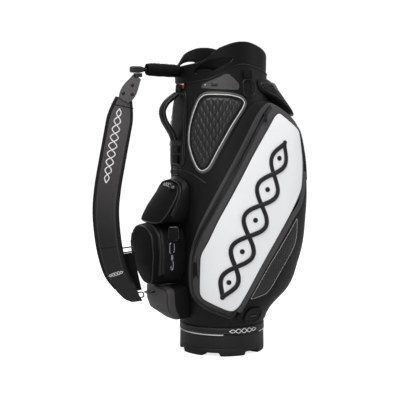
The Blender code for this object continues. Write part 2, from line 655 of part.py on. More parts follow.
def build_strap_end(looks):
    """The strap's tail and adjuster: a ring on its back, webbing to the lower ring, and the pocket's ring."""
    axis = STRAP_AXIS_X * wide
    pivot = (axis, 0.0, 0.765 * tall)
    top = np.array((-0.281 * wide, -0.006, 0.290 * tall))
    low = np.array((-0.2535 * wide, -0.004, 0.166 * tall))
    across = unit((0.80, -0.60, 0.0))
    down = unit(low - top)
    side = unit(across - down * (across @ down))
    wire_loop("strap_ring_upper", top, side, down, 0.036, 0.013, 0.004, looks["metal"], pivot=pivot)
    wire_loop("strap_ring_lower", low, side, down, 0.036, 0.014, 0.004, looks["metal"], pivot=pivot)
    path = [top + down * 0.010 + (low - top - down * 0.0235) * s for s in (0.0, 0.33, 0.66, 1.0)]
    bow = unit(np.cross(side, down))
    bow = bow if bow[0] < 0 else -bow
    path = [p + bow * d for p, d in zip(path, (0.0, 0.002, 0.002, 0.0))]
    sweep("strap_webbing", path, side, section(0.032, 0.003), looks["webbing"], pivot=pivot)
    line = np.array(scaled(STRAP_LINE))
    end = line[-1]
    leaving = unit(end - line[-2])
    turn = math.radians(STRAP_TWIST[-1])
    first = np.array((math.cos(turn), -math.sin(turn), 0.0))
    first = unit(first - leaving * (first @ leaving))
    fall = unit((0.78, 0.0, -0.62))
    line = np.array(scaled([(-.2795, .1790), (-.2665, .1605), (-.2545, .1500)])) + (0.0, low[1], 0.0)
    stations = [(end + leaving * 0.0014, leaving, first, 0.062, 0.009),
                (line[0], unit(leaving + fall * 0.5), unit(first + side), 0.054, 0.008),
                (line[1], fall, side, 0.042, 0.006),
                (line[2], fall, side, 0.031, 0.003)]
    loops = []
    for point, along, over, width, thick in stations:
        through = unit(np.cross(along, over))
        loops.append([point + over * a + through * b for a, b in section(width, thick)])
    stack("strap_tail", loops, looks["strap"], pivot=pivot)
    anchor = np.array((-SPINE_POCKET_REACH - 0.0125, 0.0, 0.172 * tall))
    wire_loop("strap_anchor", anchor, (1, 0, 0.10), (0, 1, 0), 0.020, 0.026, 0.006, looks["metal"])


# ---------------------------------------------------------------- zip sliders

def zip_pull(name, bearing, share, function, run, looks, out=0.0035, length=0.026, double=False):
    """A slider on its zip and the pull that hangs from it; `run` is the zip's direction as (level, up)."""
    centre, normal, side, rise = frame_at(bearing, share, function, out)
    along = unit(side * run[0] + rise * run[1])
    across = unit(np.cross(normal, along))
    block(name + "_slider", centre, (across, normal, along), (0.0075, 0.0036, 0.010), looks["dark_metal"],
          pivot=tuple(centre))
    hinge = centre + normal * 0.0039
    drop = unit(np.array((0, 0, -1.0)) - normal * (normal @ np.array((0, 0, -1.0))))
    flat = unit(np.cross(normal, drop))
    middle = hinge + drop * (length / 2 - 0.001)
    block(name + "_pull", middle, (flat, normal, drop), (0.009, 0.0022, length), looks["metal"],
          pivot=tuple(hinge))


def build_zips(looks):
    for side, sign in (("right", 1), ("left", -1)):
        zip_pull("side_zip_" + side, sign * 110.5, .7745, pocket_radius, (sign * 0.58, 1.0), looks)
    zip_pull("accessory_zip", 134.0, .8660, pocket_radius, (1.0, -0.15), looks, length=0.022)
    zip_pull("ball_zip", 200.0, .700, pocket_radius, (0.0, 1.0), looks)
    top = plane_radius(pouch_reach(UPPER_REACH, UPPER_POUCH_REACH))
    zip_pull("upper_zip", 12.0, .548, top, (1.0, 0.0), looks, length=0.020)
    low = plane_radius(pouch_reach(LOWER_REACH, LOWER_POUCH_REACH))
    zip_pull("lower_zip", -8.0, .392, low, (1.0, 0.0), looks, length=0.020)


def build_tag(looks):
    """Small sewn tag at the top of the spine."""
    centre, normal, side, rise = frame_at(10.0, .8615, body_radius, 0.0022)
    block("spine_tag", centre, (side, normal, rise), (0.022, 0.0014, 0.011), looks["tag"])


def main():
    for old in list(bpy.data.objects):
        bpy.data.objects.remove(old)
    looks = {
        "rubber": material("boot_plastic", "#2c2b2b", 0.55),
        "piping": material("piping_vinyl", "#d9d8d6", 0.45),
        "shell": material("body_leather_black", "#1e1c1d", 0.6),
        "cuff": material("cuff_plastic", "#17181a", 0.4),
        "divider": material("divider_plastic", "#1b1b1c", 0.6),
        "leather": material("leather_charcoal", "#454444", 0.55),
        "white": material("leather_white", "#e8e9eb", 0.45),
        "quilted": material("leather_quilted", "#3a3839", 0.5),
        "black": material("fabric_black", "#1d1b1c", 0.7),
        "strap": material("strap_leather", "#5a5758", 0.5),
        "webbing": material("webbing_black", "#1a1a1b", 0.8),
        "metal": material("nickel", "#c4c4c6", 0.3, 1.0),
        "dark_metal": material("gunmetal", "#4c4c50", 0.4, 1.0),
        "hard_plastic": material("swivel_plastic", "#151516", 0.35),
        "tag": material("tag_vinyl", "#8d1f2b", 0.5),
    }
    build_base(looks)
    build_shell(looks)
    build_cuff(looks)
    build_divider(looks)
    build_pockets(looks)
    build_pouches(looks)
    build_handle(looks)
    build_rings(looks)
    build_strap(looks)
    build_strap_end(looks)
    build_zips(looks)
    build_tag(looks)


main()
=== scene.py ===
"""Golf staff bag: every visible surface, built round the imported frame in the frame's own metres."""

import bmesh
import bpy
import numpy as np
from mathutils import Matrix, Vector


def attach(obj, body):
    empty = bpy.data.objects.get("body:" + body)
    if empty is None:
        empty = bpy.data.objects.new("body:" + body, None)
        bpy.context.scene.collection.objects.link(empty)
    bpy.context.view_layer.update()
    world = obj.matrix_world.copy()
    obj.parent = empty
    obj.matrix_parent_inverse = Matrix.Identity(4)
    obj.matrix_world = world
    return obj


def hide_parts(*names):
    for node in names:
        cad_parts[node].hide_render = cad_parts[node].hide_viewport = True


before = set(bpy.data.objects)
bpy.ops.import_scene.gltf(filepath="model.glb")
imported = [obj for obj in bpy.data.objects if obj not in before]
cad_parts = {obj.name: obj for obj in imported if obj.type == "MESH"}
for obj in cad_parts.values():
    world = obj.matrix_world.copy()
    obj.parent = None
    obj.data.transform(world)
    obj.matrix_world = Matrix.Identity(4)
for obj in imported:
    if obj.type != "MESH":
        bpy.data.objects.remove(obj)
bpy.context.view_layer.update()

bl_info = {
    "name": "Golf Staff Bag",
    "version": (1, 0, 0),
    "blender": (4, 5, 0),
    "location": "View3D > Sidebar > Staff Bag",
    "description": "Builds the covers, pockets, trims, hardware and stage of a golf staff bag",
    "category": "Add Mesh",
}

# ---------------------------------------------------------------- the bag's own sizes, in metres

HEIGHT = 0.838
RADIUS = 0.116
STRAP_AXIS = -0.247
FOOT_HEIGHT = 0.009
POCKET_GAP = 0.0032
PER_DEGREE = np.pi / 180

# Sections of the body and of the pockets' outer faces: sizes in body radii at shares of the height.
LEVELS = np.array([0.101, 0.143, 0.203, 0.298, 0.418, 0.537, 0.656, 0.764, 0.835, 0.907])
BODY_FRONT = np.array([1.01, 1.035, 1.06, 1.085, 1.10, 1.10, 1.095, 1.08, 1.06, 1.03])
BODY_BACK = np.array([1.01, 1.04, 1.09, 1.12, 1.147, 1.155, 1.147, 1.11, 1.086, 1.045])
BODY_SIDE = np.array([1.01, 1.05, 1.095, 1.13, 1.155, 1.164, 1.155, 1.13, 1.095, 1.035])
SQUARENESS = np.array([2.0, 2.2, 2.4, 2.5, 2.5, 2.5, 2.5, 2.5, 2.3, 2.0])
POCKET_FRONT = np.array([1.01, 1.12, 1.52, 1.82, 1.98, 2.03, 1.97, 1.76, 1.41, 1.04])
POCKET_SIDE = np.array([1.01, 1.15, 1.28, 1.36, 1.40, 1.38, 1.32, 1.24, 1.16, 1.04])

# Outlines: (bearing in degrees from the spine, share of the height).
RIM = [(0, .925), (20, .930), (35, .935), (44, .942), (56, .974), (68, .988), (82, .999), (98, 1.0), (113, .991),
       (130, .979), (150, .963), (180, .955)]
SEAM = [(0, .871), (27, .875), (50, .884), (65, .905), (81, .927), (94, .931), (112, .921), (150, .902), (180, .897)]
CUFF_HOLE = [(27, .8985), (41, .8975), (53, .906), (61, .919), (73, .934), (78, .943), (76.5, .951), (62, .949),
             (48, .941), (34, .922)]
SIDE_BASE = [(118, .824), (132, .811), (152.5, .752), (153, .656), (150.5, .533), (130, .444), (108.5, .304),
             (86.5, .170), (77, .1135), (66, .127), (47, .143), (29, .172), (22.5, .212), (22.5, .313), (30, .420),
             (36, .495), (56, .606), (92, .797)]
SIDE_FACE = [(118, .810), (130, .800), (150, .745), (150.5, .656), (148, .537), (128.5, .450), (107, .308),
             (85, .175), (76, .121), (66, .135), (48.5, .151), (31, .180), (24, .216), (25, .311), (39, .405),
             (48, .447), (80, .631), (106, .770)]
BALL_BASE = [(180, .740), (156, .740), (155, .656), (152.5, .530), (132.5, .440), (111, .300), (89, .166),
             (80, .1155), (110, .108), (145, .107)]
BALL_FACE = [(180, .730), (158.5, .727), (157, .656), (154.5, .537), (134.5, .447), (113, .306), (91.5, .174),
             (86, .128), (112, .119), (145, .118)]
ACCESSORY_BASE = [(180, .757), (157, .763), (134, .824), (122, .836), (113, .850), (110, .884), (130, .886),
                  (155, .884)]
ACCESSORY_FACE = [(180, .768), (158, .773), (136, .831), (124.5, .843), (116, .855), (114, .873), (132, .876),
                  (155, .875)]
SPINE_POCKET = [(0, .112), (14, .114), (20.5, .132), (21, .190), (20.5, .222), (10, .2260), (0, .2260)]
LOWER_POUCH = [(0, .2285), (9, .232), (17, .285), (20, .345), (17.5, .397), (9, .422), (0, .4262)]
UPPER_BASE = [(0, .4290), (12, .4290), (20, .432), (27, .475), (28, .540), (20, .567), (0, .576)]
UPPER_FACE = [(0, .4290), (11, .4290), (18.5, .434), (23.5, .480), (24, .530), (17, .552), (0, .559)]
QUILT = [(44, .834), (60, .834), (74, .832), (87, .823), (91, .809), (89, .796), (74, .738), (60.5, .668),
         (50, .605), (43, .595), (38, .604), (31.5, .636), (25.5, .680), (25.5, .726), (30, .771), (37, .818)]
LEAF = [(126.5, .778), (146, .721), (146, .685), (145, .619), (141.5, .536), (126, .438), (102.5, .289),
        (83, .167), (77, .1525), (71.5, .153), (43, .190), (39.5, .207), (41.5, .318), (43, .335), (51.3, .378),
        (61, .444), (94, .636), (121, .765)]
TRIM = [(137.0, .452), (137.5, .377), (135.0, .344), (116.0, .218), (112.0, .201), (92.5, .183)]
SPINE_PANEL = [(0, .604), (11, .604), (17.5, .612), (18, .700), (18, .790), (16, .845), (0, .850)]
YOKE_PANEL = [(40.5, .868), (59.2, .886), (66.0, .896), (72.0, .899), (84.8, .868), (84.4, .847), (38.0, .853)]
LOWER_REACH = [(.230, .225), (.300, .245), (.360, .250), (.424, .242)]
UPPER_REACH = [(.431, .2226), (.475, .2014), (.525, .1738), (.574, .1484)]
SPINE_REACH = [(.112, .1599), (.150, .1978), (.175, .205), (.226, .205)]
STRAP_LINE = [(-.287, .688), (-.297, .640), (-.308, .585), (-.321, .520), (-.333, .455), (-.3385, .400),
              (-.336, .345), (-.327, .285), (-.311, .232), (-.289, .196)]
STRAP_TWIST = [12, 14, 16, 18, 22, 26, 30, 34, 38, 42]
HANDLE_LINE = [(-.1378, .701), (-.150, .692), (-.167, .677), (-.177, .657), (-.173, .634), (-.160, .612),
               (-.150, .596), (-.1440, .578)]


def linear(code):
    """The linear colour of an sRGB hex value."""
    parts = [int(code[k:k + 2], 16) / 255 for k in (1, 3, 5)]
    return [c / 12.92 if c <= 0.04045 else ((c + 0.055) / 1.055) ** 2.4 for c in parts]


# ---------------------------------------------------------------- what a user would change

class BagSizes(bpy.types.PropertyGroup):
    """Sizes of the sewn and moulded details."""
    quilt_width: bpy.props.FloatProperty(name="Quilt width", description="Width of one quilted diamond",
                                         default=0.017, min=0.006, unit="LENGTH", subtype="DISTANCE")
    quilt_rise: bpy.props.FloatProperty(name="Quilt rise", description="How far a quilted diamond swells",
                                        default=0.0036, min=0.0, unit="LENGTH", subtype="DISTANCE")
    piping: bpy.props.FloatProperty(name="Piping radius", description="Radius of the white corded piping",
                                    default=0.0013, min=0.0005, unit="LENGTH", subtype="DISTANCE")
    stitch: bpy.props.FloatProperty(name="Stitch length", description="Length of one stitch",
                                    default=0.0032, min=0.001, unit="LENGTH", subtype="DISTANCE")
    stroke: bpy.props.FloatProperty(name="Embroidery width", description="Half width of the leaf's satin stroke",
                                    default=0.0062, min=0.001, unit="LENGTH", subtype="DISTANCE")
    zip_pitch: bpy.props.FloatProperty(name="Zip pitch", description="Spacing of the zips' teeth",
                                       default=0.0022, min=0.001, unit="LENGTH", subtype="DISTANCE")
    strap_width: bpy.props.FloatProperty(name="Strap width", description="Width of the padded strap",
                                         default=0.070, min=0.03, unit="LENGTH", subtype="DISTANCE")
    strap_thick: bpy.props.FloatProperty(name="Strap thickness", description="Thickness of the padded strap",
                                         default=0.013, min=0.004, unit="LENGTH", subtype="DISTANCE")


class BagColours(bpy.types.PropertyGroup):
    """Colours of the bag's materials."""
    charcoal: bpy.props.FloatVectorProperty(name="Charcoal leather", description="Pocket faces and trims",
                                            size=3, subtype="COLOR", default=linear("#413f40"))
    black: bpy.props.FloatVectorProperty(name="Black leather", description="Body cover and pocket walls",
                                         size=3, subtype="COLOR", default=linear("#121112"))
    white: bpy.props.FloatVectorProperty(name="White leather", description="Leaf panels",
                                         size=3, subtype="COLOR", default=linear("#f0f1f3"))
    quilted: bpy.props.FloatVectorProperty(name="Quilted leather", description="Quilted panels and lower trims",
                                           size=3, subtype="COLOR", default=linear("#222021"))
    fabric: bpy.props.FloatVectorProperty(name="Black fabric", description="Pouches and sleeve",
                                          size=3, subtype="COLOR", default=linear("#0c0b0c"))
    strap: bpy.props.FloatVectorProperty(name="Strap leather", description="Face of the shoulder strap",
                                         size=3, subtype="COLOR", default=linear("#403d3e"))
    piping: bpy.props.FloatVectorProperty(name="Piping", description="White piping and white thread",
                                          size=3, subtype="COLOR", default=linear("#d6d6d4"))
    boot: bpy.props.FloatVectorProperty(name="Boot plastic", description="Moulded boot and collar",
                                        size=3, subtype="COLOR", default=linear("#191819"))
    cuff: bpy.props.FloatVectorProperty(name="Cuff plastic", description="Moulded top cuff",
                                        size=3, subtype="COLOR", default=linear("#070708"))
    tag: bpy.props.FloatVectorProperty(name="Sewn tag", description="Small red tag on the spine",
                                       size=3, subtype="COLOR", default=linear("#8d1f2b"))


# ---------------------------------------------------------------- surfaces of the bag

def place(bearing, radius, z):
    """Points from bearings, distances from the axis and heights: x = -r cos b, y = -r sin b."""
    angle = np.radians(bearing)
    parts = np.broadcast_arrays(-radius * np.cos(angle), -radius * np.sin(angle), z)
    return np.stack(parts, -1)


def level(table, z):
    """A size between its stations, on cubic pieces whose slopes are the mean of the two chords beside them."""
    share = np.clip(np.asarray(z, float) / HEIGHT, LEVELS[0], LEVELS[-1])
    slope = np.gradient(table, LEVELS)
    k = np.clip(np.searchsorted(LEVELS, share, side="right") - 1, 0, len(LEVELS) - 2)
    gap = LEVELS[k + 1] - LEVELS[k]
    t = (share - LEVELS[k]) / gap
    first = (2 * t ** 3 - 3 * t ** 2 + 1) * table[k] + (t ** 3 - 2 * t ** 2 + t) * gap * slope[k]
    return first + (3 * t ** 2 - 2 * t ** 3) * table[k + 1] + (t ** 3 - t ** 2) * gap * slope[k + 1]


def section_radius(bearing, front, back, side, square):
    """Distance from the axis where |(x - c) / a|^n + |y / side|^n is 1, found by halving."""
    angle = np.radians(bearing)
    centre = (front - back) / 2
    half = (front + back) / 2
    low = np.zeros(np.shape(angle + square))
    high = low + 4 * RADIUS
    for _ in range(26):
        middle = (low + high) / 2
        size = np.abs((-middle * np.cos(angle) - centre) / half) ** square
        size = size + np.abs(middle * np.sin(angle) / side) ** square
        low = np.where(size < 1, middle, low)
        high = np.where(size < 1, high, middle)
    return (low + high) / 2


def body_skin(bearing, z):
    """Outer skin of the body."""
    bearing, z = np.broadcast_arrays(np.asarray(bearing, float), np.asarray(z, float))
    sizes = [level(t, z) * RADIUS for t in (BODY_FRONT, BODY_BACK, BODY_SIDE)]
    return section_radius(bearing, *sizes, level(SQUARENESS, z))


def pocket_skin(bearing, z):
    """Outer faces of the side and front pockets."""
    bearing, z = np.broadcast_arrays(np.asarray(bearing, float), np.asarray(z, float))
    sizes = [level(t, z) * RADIUS for t in (POCKET_FRONT, BODY_BACK, POCKET_SIDE)]
    return section_radius(bearing, *sizes, level(SQUARENESS, z))


def cuff_skin(bearing, z):
    """Outside of the cuff: a round section, a little long towards the spine."""
    bearing = np.asarray(bearing, float) + 0.0 * np.asarray(z, float)
    return section_radius(bearing, 1.026 * RADIUS, 1.121 * RADIUS, 1.056 * RADIUS, 2.0 + 0.0 * bearing)


def across_skin(stations):
    """A slightly bowed face across the spine: its reach between stations, times 1 + 0.35 (1 / cos b - 1)."""
    known = np.array(stations, float)

    def skin(bearing, z):
        reach = np.interp(np.asarray(z, float) / HEIGHT, known[:, 0], known[:, 1])
        return reach * (1 + 0.35 * (1 / np.cos(np.radians(bearing)) - 1))
    return skin


def raised(skin, gap):
    """The same surface, a gap further out."""
    return lambda bearing, z: skin(bearing, z) + gap


def around(table, bearing):
    """A height from a one-sided table, the same on both sides of the bag, rounded by a short average."""
    known = np.array(table, float)
    total = 0.0
    for shift in (-5, -2.5, 0, 2.5, 5):
        folded = np.abs((np.asarray(bearing, float) + shift + 180) % 360 - 180)
        total = total + np.interp(folded, known[:, 0], known[:, 1])
    return total / 5 * HEIGHT


# ---------------------------------------------------------------- lines

def rounded(corners, both=False, mirror=False, passes=4, cut=0.22):
    """Corner list to a rounded closed outline of (bearing, z): every corner is cut off again and again."""
    line = [(a, s * HEIGHT) for a, s in corners]
    if both:
        middle = line[0][0]
        ends = [p for p in line[1:] if p[0] != middle]
        closing = [p for p in line[1:] if p[0] == middle]
        line = [line[0], *ends, *closing, *[(2 * middle - a, z) for a, z in reversed(ends)]]
    line = np.array(line, float)
    for turn in range(passes):
        ahead = np.roll(line, -1, axis=0)
        share = cut if turn == 0 else 0.25
        line = np.stack([line + (ahead - line) * share, ahead + (line - ahead) * share], 1).reshape(-1, 2)
    return line * (-1, 1) if mirror else line


def even(line, count, guide=None, scale=(0.0027, 1.0), closed=True):
    """Evenly spaced points along a line; a guide line of as many points sets the spacing instead."""
    measure = (line if guide is None else guide) * np.asarray(scale)
    ends = np.vstack([line, line[:1]]) if closed else line
    measure = np.vstack([measure, measure[:1]]) if closed else measure
    run = np.concatenate([[0.0], np.cumsum(np.linalg.norm(np.diff(measure, axis=0), axis=1))])
    wanted = np.linspace(0, run[-1], count, endpoint=not closed)
    return np.stack([np.interp(wanted, run, ends[:, k]) for k in range(ends.shape[1])], 1)


def inset(line, distance, skin=None):
    """A closed outline moved inwards by a distance in metres, measured on the surface."""
    per = (0.155 if skin is None else skin(line[:, 0], line[:, 1])) * PER_DEGREE
    tangent = (np.roll(line, -1, axis=0) - np.roll(line, 1, axis=0)) * np.stack([per + 0 * line[:, 0],
                                                                                1 + 0 * line[:, 0]], 1)
    tangent = tangent / np.linalg.norm(tangent, axis=1)[:, None]
    turn = np.sign(np.sum(line[:, 0] * np.roll(line[:, 1], -1) - np.roll(line[:, 0], -1) * line[:, 1]))
    normal = np.stack([-tangent[:, 1], tangent[:, 0]], 1) * turn
    return line + normal * distance / np.stack([per + 0 * line[:, 0], 1 + 0 * line[:, 0]], 1)


def stretch(line, first, last, through):
    """Numbers of a closed line's points from the one nearest `first` to the one nearest `last`, by `through`."""
    spots = []
    for bearing, share in (first, through, last):
        spots.append(int(np.argmin((((line - (bearing, share * HEIGHT)) * (0.0027, 1.0)) ** 2).sum(1))))
    count = len(line)
    forward = np.arange(spots[0], spots[0] + (spots[2] - spots[0]) % count + 1) % count
    if spots[1] in forward:
        return forward
    return np.arange(spots[0], spots[0] - (spots[0] - spots[2]) % count - 1, -1) % count


def curve(points, count, closed=False):
    """A smooth curve through points, on cubic pieces, with evenly spaced results."""
    points = np.asarray(points, float)
    if closed:
        points = np.vstack([points[-2:], points, points[:3]])
    run = np.concatenate([[0.0], np.cumsum(np.linalg.norm(np.diff(points, axis=0), axis=1))])
    slope = np.gradient(points, run, axis=0)
    low, high = (run[2], run[-3]) if closed else (run[0], run[-1])
    wanted = np.linspace(low, high, 40 * count, endpoint=not closed)
    k = np.clip(np.searchsorted(run, wanted, side="right") - 1, 0, len(run) - 2)
    gap = (run[k + 1] - run[k])[:, None]
    t = ((wanted - run[k]) / gap[:, 0])[:, None]
    fine = (2 * t ** 3 - 3 * t ** 2 + 1) * points[k] + (t ** 3 - 2 * t ** 2 + t) * gap * slope[k]
    fine = fine + (3 * t ** 2 - 2 * t ** 3) * points[k + 1] + (t ** 3 - t ** 2) * gap * slope[k + 1]
    return even(fine, count, scale=np.ones(points.shape[1]), closed=closed)


def on_skin(line, skin, gap=0.0):
    """Places and outward directions of (bearing, z) points on a surface; the normal is side x rise."""
    bearing, z = line[:, 0], line[:, 1]
    here = place(bearing, skin(bearing, z), z)
    side = place(bearing + 0.4, skin(bearing + 0.4, z), z) - place(bearing - 0.4, skin(bearing - 0.4, z), z)
    rise = place(bearing, skin(bearing, z + 0.003), z + 0.003) - place(bearing, skin(bearing, z - 0.003), z - 0.003)
    normal = np.cross(side, rise)
    normal = normal / np.linalg.norm(normal, axis=1)[:, None]
    facing = np.sign((normal * place(bearing, 1.0, 0.0 * z)).sum(1))
    normal = normal * facing[:, None]
    return here + normal * gap, normal


def unit(vector):
    vector = np.asarray(vector, float)
    return vector / np.linalg.norm(vector)


# ---------------------------------------------------------------- meshes

def mesh_piece(name, points, faces, looks, slots=None, uv=None, crease=50):
    """A mesh object at the origin; its faces point outwards because its signed volume is made positive."""
    points = np.asarray(points, float).reshape(-1, 3)
    faces = [np.asarray(block, int) for block in faces if len(block)]
    volume = 0.0
    for block in faces:
        first = points[block[:, 0]]
        for k in range(1, block.shape[1] - 1):
            volume += np.einsum("ij,ij->i", first, np.cross(points[block[:, k]], points[block[:, k + 1]])).sum()
    if volume < 0:
        faces = [block[:, ::-1] for block in faces]
    data = bpy.data.meshes.new(name)
    data.from_pydata(points.tolist(), [], [face for block in faces for face in block.tolist()])
    for look in looks:
        data.materials.append(look)
    if slots is not None:
        data.polygons.foreach_set("material_index", np.asarray(slots, np.int32))
    if uv is not None:
        corners = np.empty(len(data.loops), np.int32)
        data.loops.foreach_get("vertex_index", corners)
        layer = data.uv_layers.new(name="along")
        layer.data.foreach_set("uv", np.asarray(uv, np.float32)[corners].ravel())
    data.shade_smooth()
    data.set_sharp_from_angle(angle=np.radians(crease))
    data.update()
    piece = bpy.data.objects.new(name, data)
    bpy.context.scene.collection.objects.link(piece)
    return piece


def loft(name, rings, looks, start=None, end=None, wrap=False, slots=None, uv=None, crease=50):
    """Quads between rings of equally many points; a tip point closes an end, wrap joins the last to the first."""
    rings = np.asarray(rings, float)
    count, size = rings.shape[:2]
    points = rings.reshape(-1, 3)
    index = np.arange(count * size).reshape(count, size)
    lower = index if wrap else index[:-1]
    upper = np.roll(index, -1, axis=0) if wrap else index[1:]
    quads = np.stack([lower, np.roll(lower, -1, 1), np.roll(upper, -1, 1), upper], -1).reshape(-1, 4)
    spans = np.repeat(np.zeros(len(lower), int) if slots is None else np.asarray(slots, int), size)
    fans = []
    kinds = [spans]
    for tip, ring, back in ((start, index[0], True), (end, index[-1], False)):
        if tip is None:
            continue
        points = np.vstack([points, [tip]])
        centre = np.full(size, len(points) - 1)
        fan = np.stack([ring, np.roll(ring, -1), centre], -1)
        fans.append(fan[:, ::-1] if back else fan)
        kinds.append(np.full(size, spans[0] if back else spans[-1]))
    if uv is not None:
        uv = np.asarray(uv, float).reshape(-1, 2)
        uv = np.vstack([uv, np.tile(uv[-1], (len(points) - len(uv), 1))])
    return mesh_piece(name, points, [quads, *fans], looks, np.concatenate(kinds), uv, crease)


def oval(width, thick, count=12, square=2.0):
    """A closed section: |a / half width|^n + |c / half thickness|^n is 1."""
    turn = np.arange(count) * 2 * np.pi / count
    a = np.sign(np.cos(turn)) * np.abs(np.cos(turn)) ** (2 / square) * width / 2
    c = np.sign(np.sin(turn)) * np.abs(np.sin(turn)) ** (2 / square) * thick / 2
    return np.stack([a, c], 1)


def sweep(name, path, outward, shape, looks, closed=False, ends=0.0, slots=None, crease=50):
    """A section carried along a path: its first coordinate runs sideways, its second outwards.

    Open ends are rounded by three more rings: the section shrinks as the cosine while it advances as the sine.
    """
    path = np.asarray(path, float)
    outward = np.broadcast_to(np.asarray(outward, float), path.shape)
    if closed:
        along = np.roll(path, -1, 0) - np.roll(path, 1, 0)
    else:
        along = np.gradient(path, axis=0)
    along = along / np.linalg.norm(along, axis=1)[:, None]
    up = outward - along * (outward * along).sum(1)[:, None]
    up = up / np.linalg.norm(up, axis=1)[:, None]
    side = np.cross(along, up)
    shape = np.asarray(shape, float)
    if shape.ndim == 2:
        shape = np.broadcast_to(shape, (len(path), *shape.shape))
    run = np.concatenate([[0.0], np.cumsum(np.linalg.norm(np.diff(path, axis=0), axis=1))])
    if not closed and ends:
        turn = np.radians([80, 55, 28])
        path = np.vstack([path[0] - along[0] * ends * np.sin(turn)[:, None], path,
                          path[-1] + along[-1] * ends * np.sin(turn[::-1])[:, None]])
        shape = np.concatenate([shape[:1] * np.cos(turn)[:, None, None], shape,
                                shape[-1:] * np.cos(turn[::-1])[:, None, None]])
        side = np.vstack([side[:1].repeat(3, 0), side, side[-1:].repeat(3, 0)])
        up = np.vstack([up[:1].repeat(3, 0), up, up[-1:].repeat(3, 0)])
        run = np.concatenate([run[0] - ends * np.sin(turn), run, run[-1] + ends * np.sin(turn[::-1])])
    rings = path[:, None] + side[:, None] * shape[..., :1] + up[:, None] * shape[..., 1:]
    girth = np.linspace(0, np.linalg.norm(np.diff(shape[len(shape) // 2], axis=0), axis=1).sum(), shape.shape[1])
    uv = np.stack(np.broadcast_arrays(run[:, None], girth[None, :]), -1)
    if closed:
        return loft(name, rings, looks, wrap=True, uv=uv, slots=slots, crease=crease)
    start = rings[0].mean(0)
    end = rings[-1].mean(0)
    return loft(name, rings, looks, start, end, uv=uv, slots=slots, crease=crease)


def repeat(name, path, outward, pitch, shape, faces, looks, tilt=0.0, closed=False):
    """One small shape set down along a path at even steps: x runs along, y sideways, z outwards."""
    path = np.asarray(path, float)
    outward = np.broadcast_to(np.asarray(outward, float), path.shape)
    if closed:
        path = np.vstack([path, path[:1]])
        outward = np.vstack([outward, outward[:1]])
    length = np.linalg.norm(np.diff(path, axis=0), axis=1).sum()
    count = max(2, int(length / pitch))
    both = even(np.hstack([path, outward]), count + 1, scale=(1, 1, 1, 0, 0, 0), closed=False)
    step = np.diff(both[:, :3], axis=0)
    spot = (both[:-1, :3] + both[1:, :3]) / 2
    up = (both[:-1, 3:] + both[1:, 3:]) / 2
    along = step / np.linalg.norm(step, axis=1)[:, None]
    up = up - along * (up * along).sum(1)[:, None]
    up = up / np.linalg.norm(up, axis=1)[:, None]
    side = np.cross(up, along)
    if tilt:
        along, side = along * np.cos(tilt) + side * np.sin(tilt), side * np.cos(tilt) - along * np.sin(tilt)
    shape = np.asarray(shape, float)
    axes = np.stack([along, side, up], 1)
    points = spot[:, None] + np.einsum("vk,nkc->nvc", shape, axes)
    faces = [np.asarray(block, int) for block in faces]
    shift = np.arange(count) * len(shape)
    blocks = [(block[None] + shift[:, None, None]).reshape(-1, block.shape[1]) for block in faces]
    return mesh_piece(name, points, blocks, looks)


def grain_shape(length, width, height):
    """A small six-sided grain: two rings of six and two tips, for one stitch."""
    turn = np.arange(6) * np.pi / 3
    rings = [np.stack([np.full(6, x), np.cos(turn) * width / 2, np.sin(turn) * height / 2], 1)
             for x in (-0.26 * length, 0.26 * length)]
    points = np.vstack([*rings, [(-length / 2, 0, -0.1 * height)], [(length / 2, 0, -0.1 * height)]])
    ring = np.arange(6)
    after = np.roll(ring, -1)
    quads = np.stack([ring, ring + 6, after + 6, after], 1)
    first = np.stack([ring, after, np.full(6, 12)], 1)
    last = np.stack([after + 6, ring + 6, np.full(6, 13)], 1)
    return points, [quads, first, last]


def brick_shape(length, width, height, narrow=0.8):
    """A small block whose outer face is narrower, for one zip tooth."""
    x, y, z = length / 2, width / 2, height / 2
    low = [(-x, -y, -z), (x, -y, -z), (x, y, -z), (-x, y, -z)]
    high = [(a * narrow, b * narrow, z) for a, b, _ in low]
    quads = [(3, 2, 1, 0), (4, 5, 6, 7), (0, 1, 5, 4), (1, 2, 6, 5), (2, 3, 7, 6), (3, 0, 4, 7)]
    return np.array(low + high), [np.array(quads)]


def loop_path(centre, x, y, width, height, corner, steps=6):
    """A rounded rectangle in the plane of two directions, corner by corner."""
    centre, x, y = (np.asarray(v, float) for v in (centre, x, y))
    points = []
    for sx, sy, first in ((1, 1, 0), (-1, 1, 90), (-1, -1, 180), (1, -1, 270)):
        turn = np.radians(first + np.linspace(0, 90, steps))
        a = sx * (width / 2 - corner) + corner * np.cos(turn)
        b = sy * (height / 2 - corner) + corner * np.sin(turn)
        points.append(centre + a[:, None] * x + b[:, None] * y)
    return np.vstack(points)


def joined(name, pieces):
    """Several pieces made one mesh, with their materials kept."""
    looks = []
    mesh = bmesh.new()
    for piece in pieces:
        start = len(mesh.faces)
        mesh.from_mesh(piece.data)
        mesh.faces.ensure_lookup_table()
        shift = []
        for look in piece.data.materials:
            if look not in looks:
                looks.append(look)
            shift.append(looks.index(look))
        for face in mesh.faces[start:]:
            face.material_index = shift[face.material_index]
    data = bpy.data.meshes.new(name)
    mesh.to_mesh(data)
    mesh.free()
    for look in looks:
        data.materials.append(look)
    for piece in pieces:
        bpy.data.objects.remove(piece)
    made = bpy.data.objects.new(name, data)
    bpy.context.scene.collection.objects.link(made)
    return made


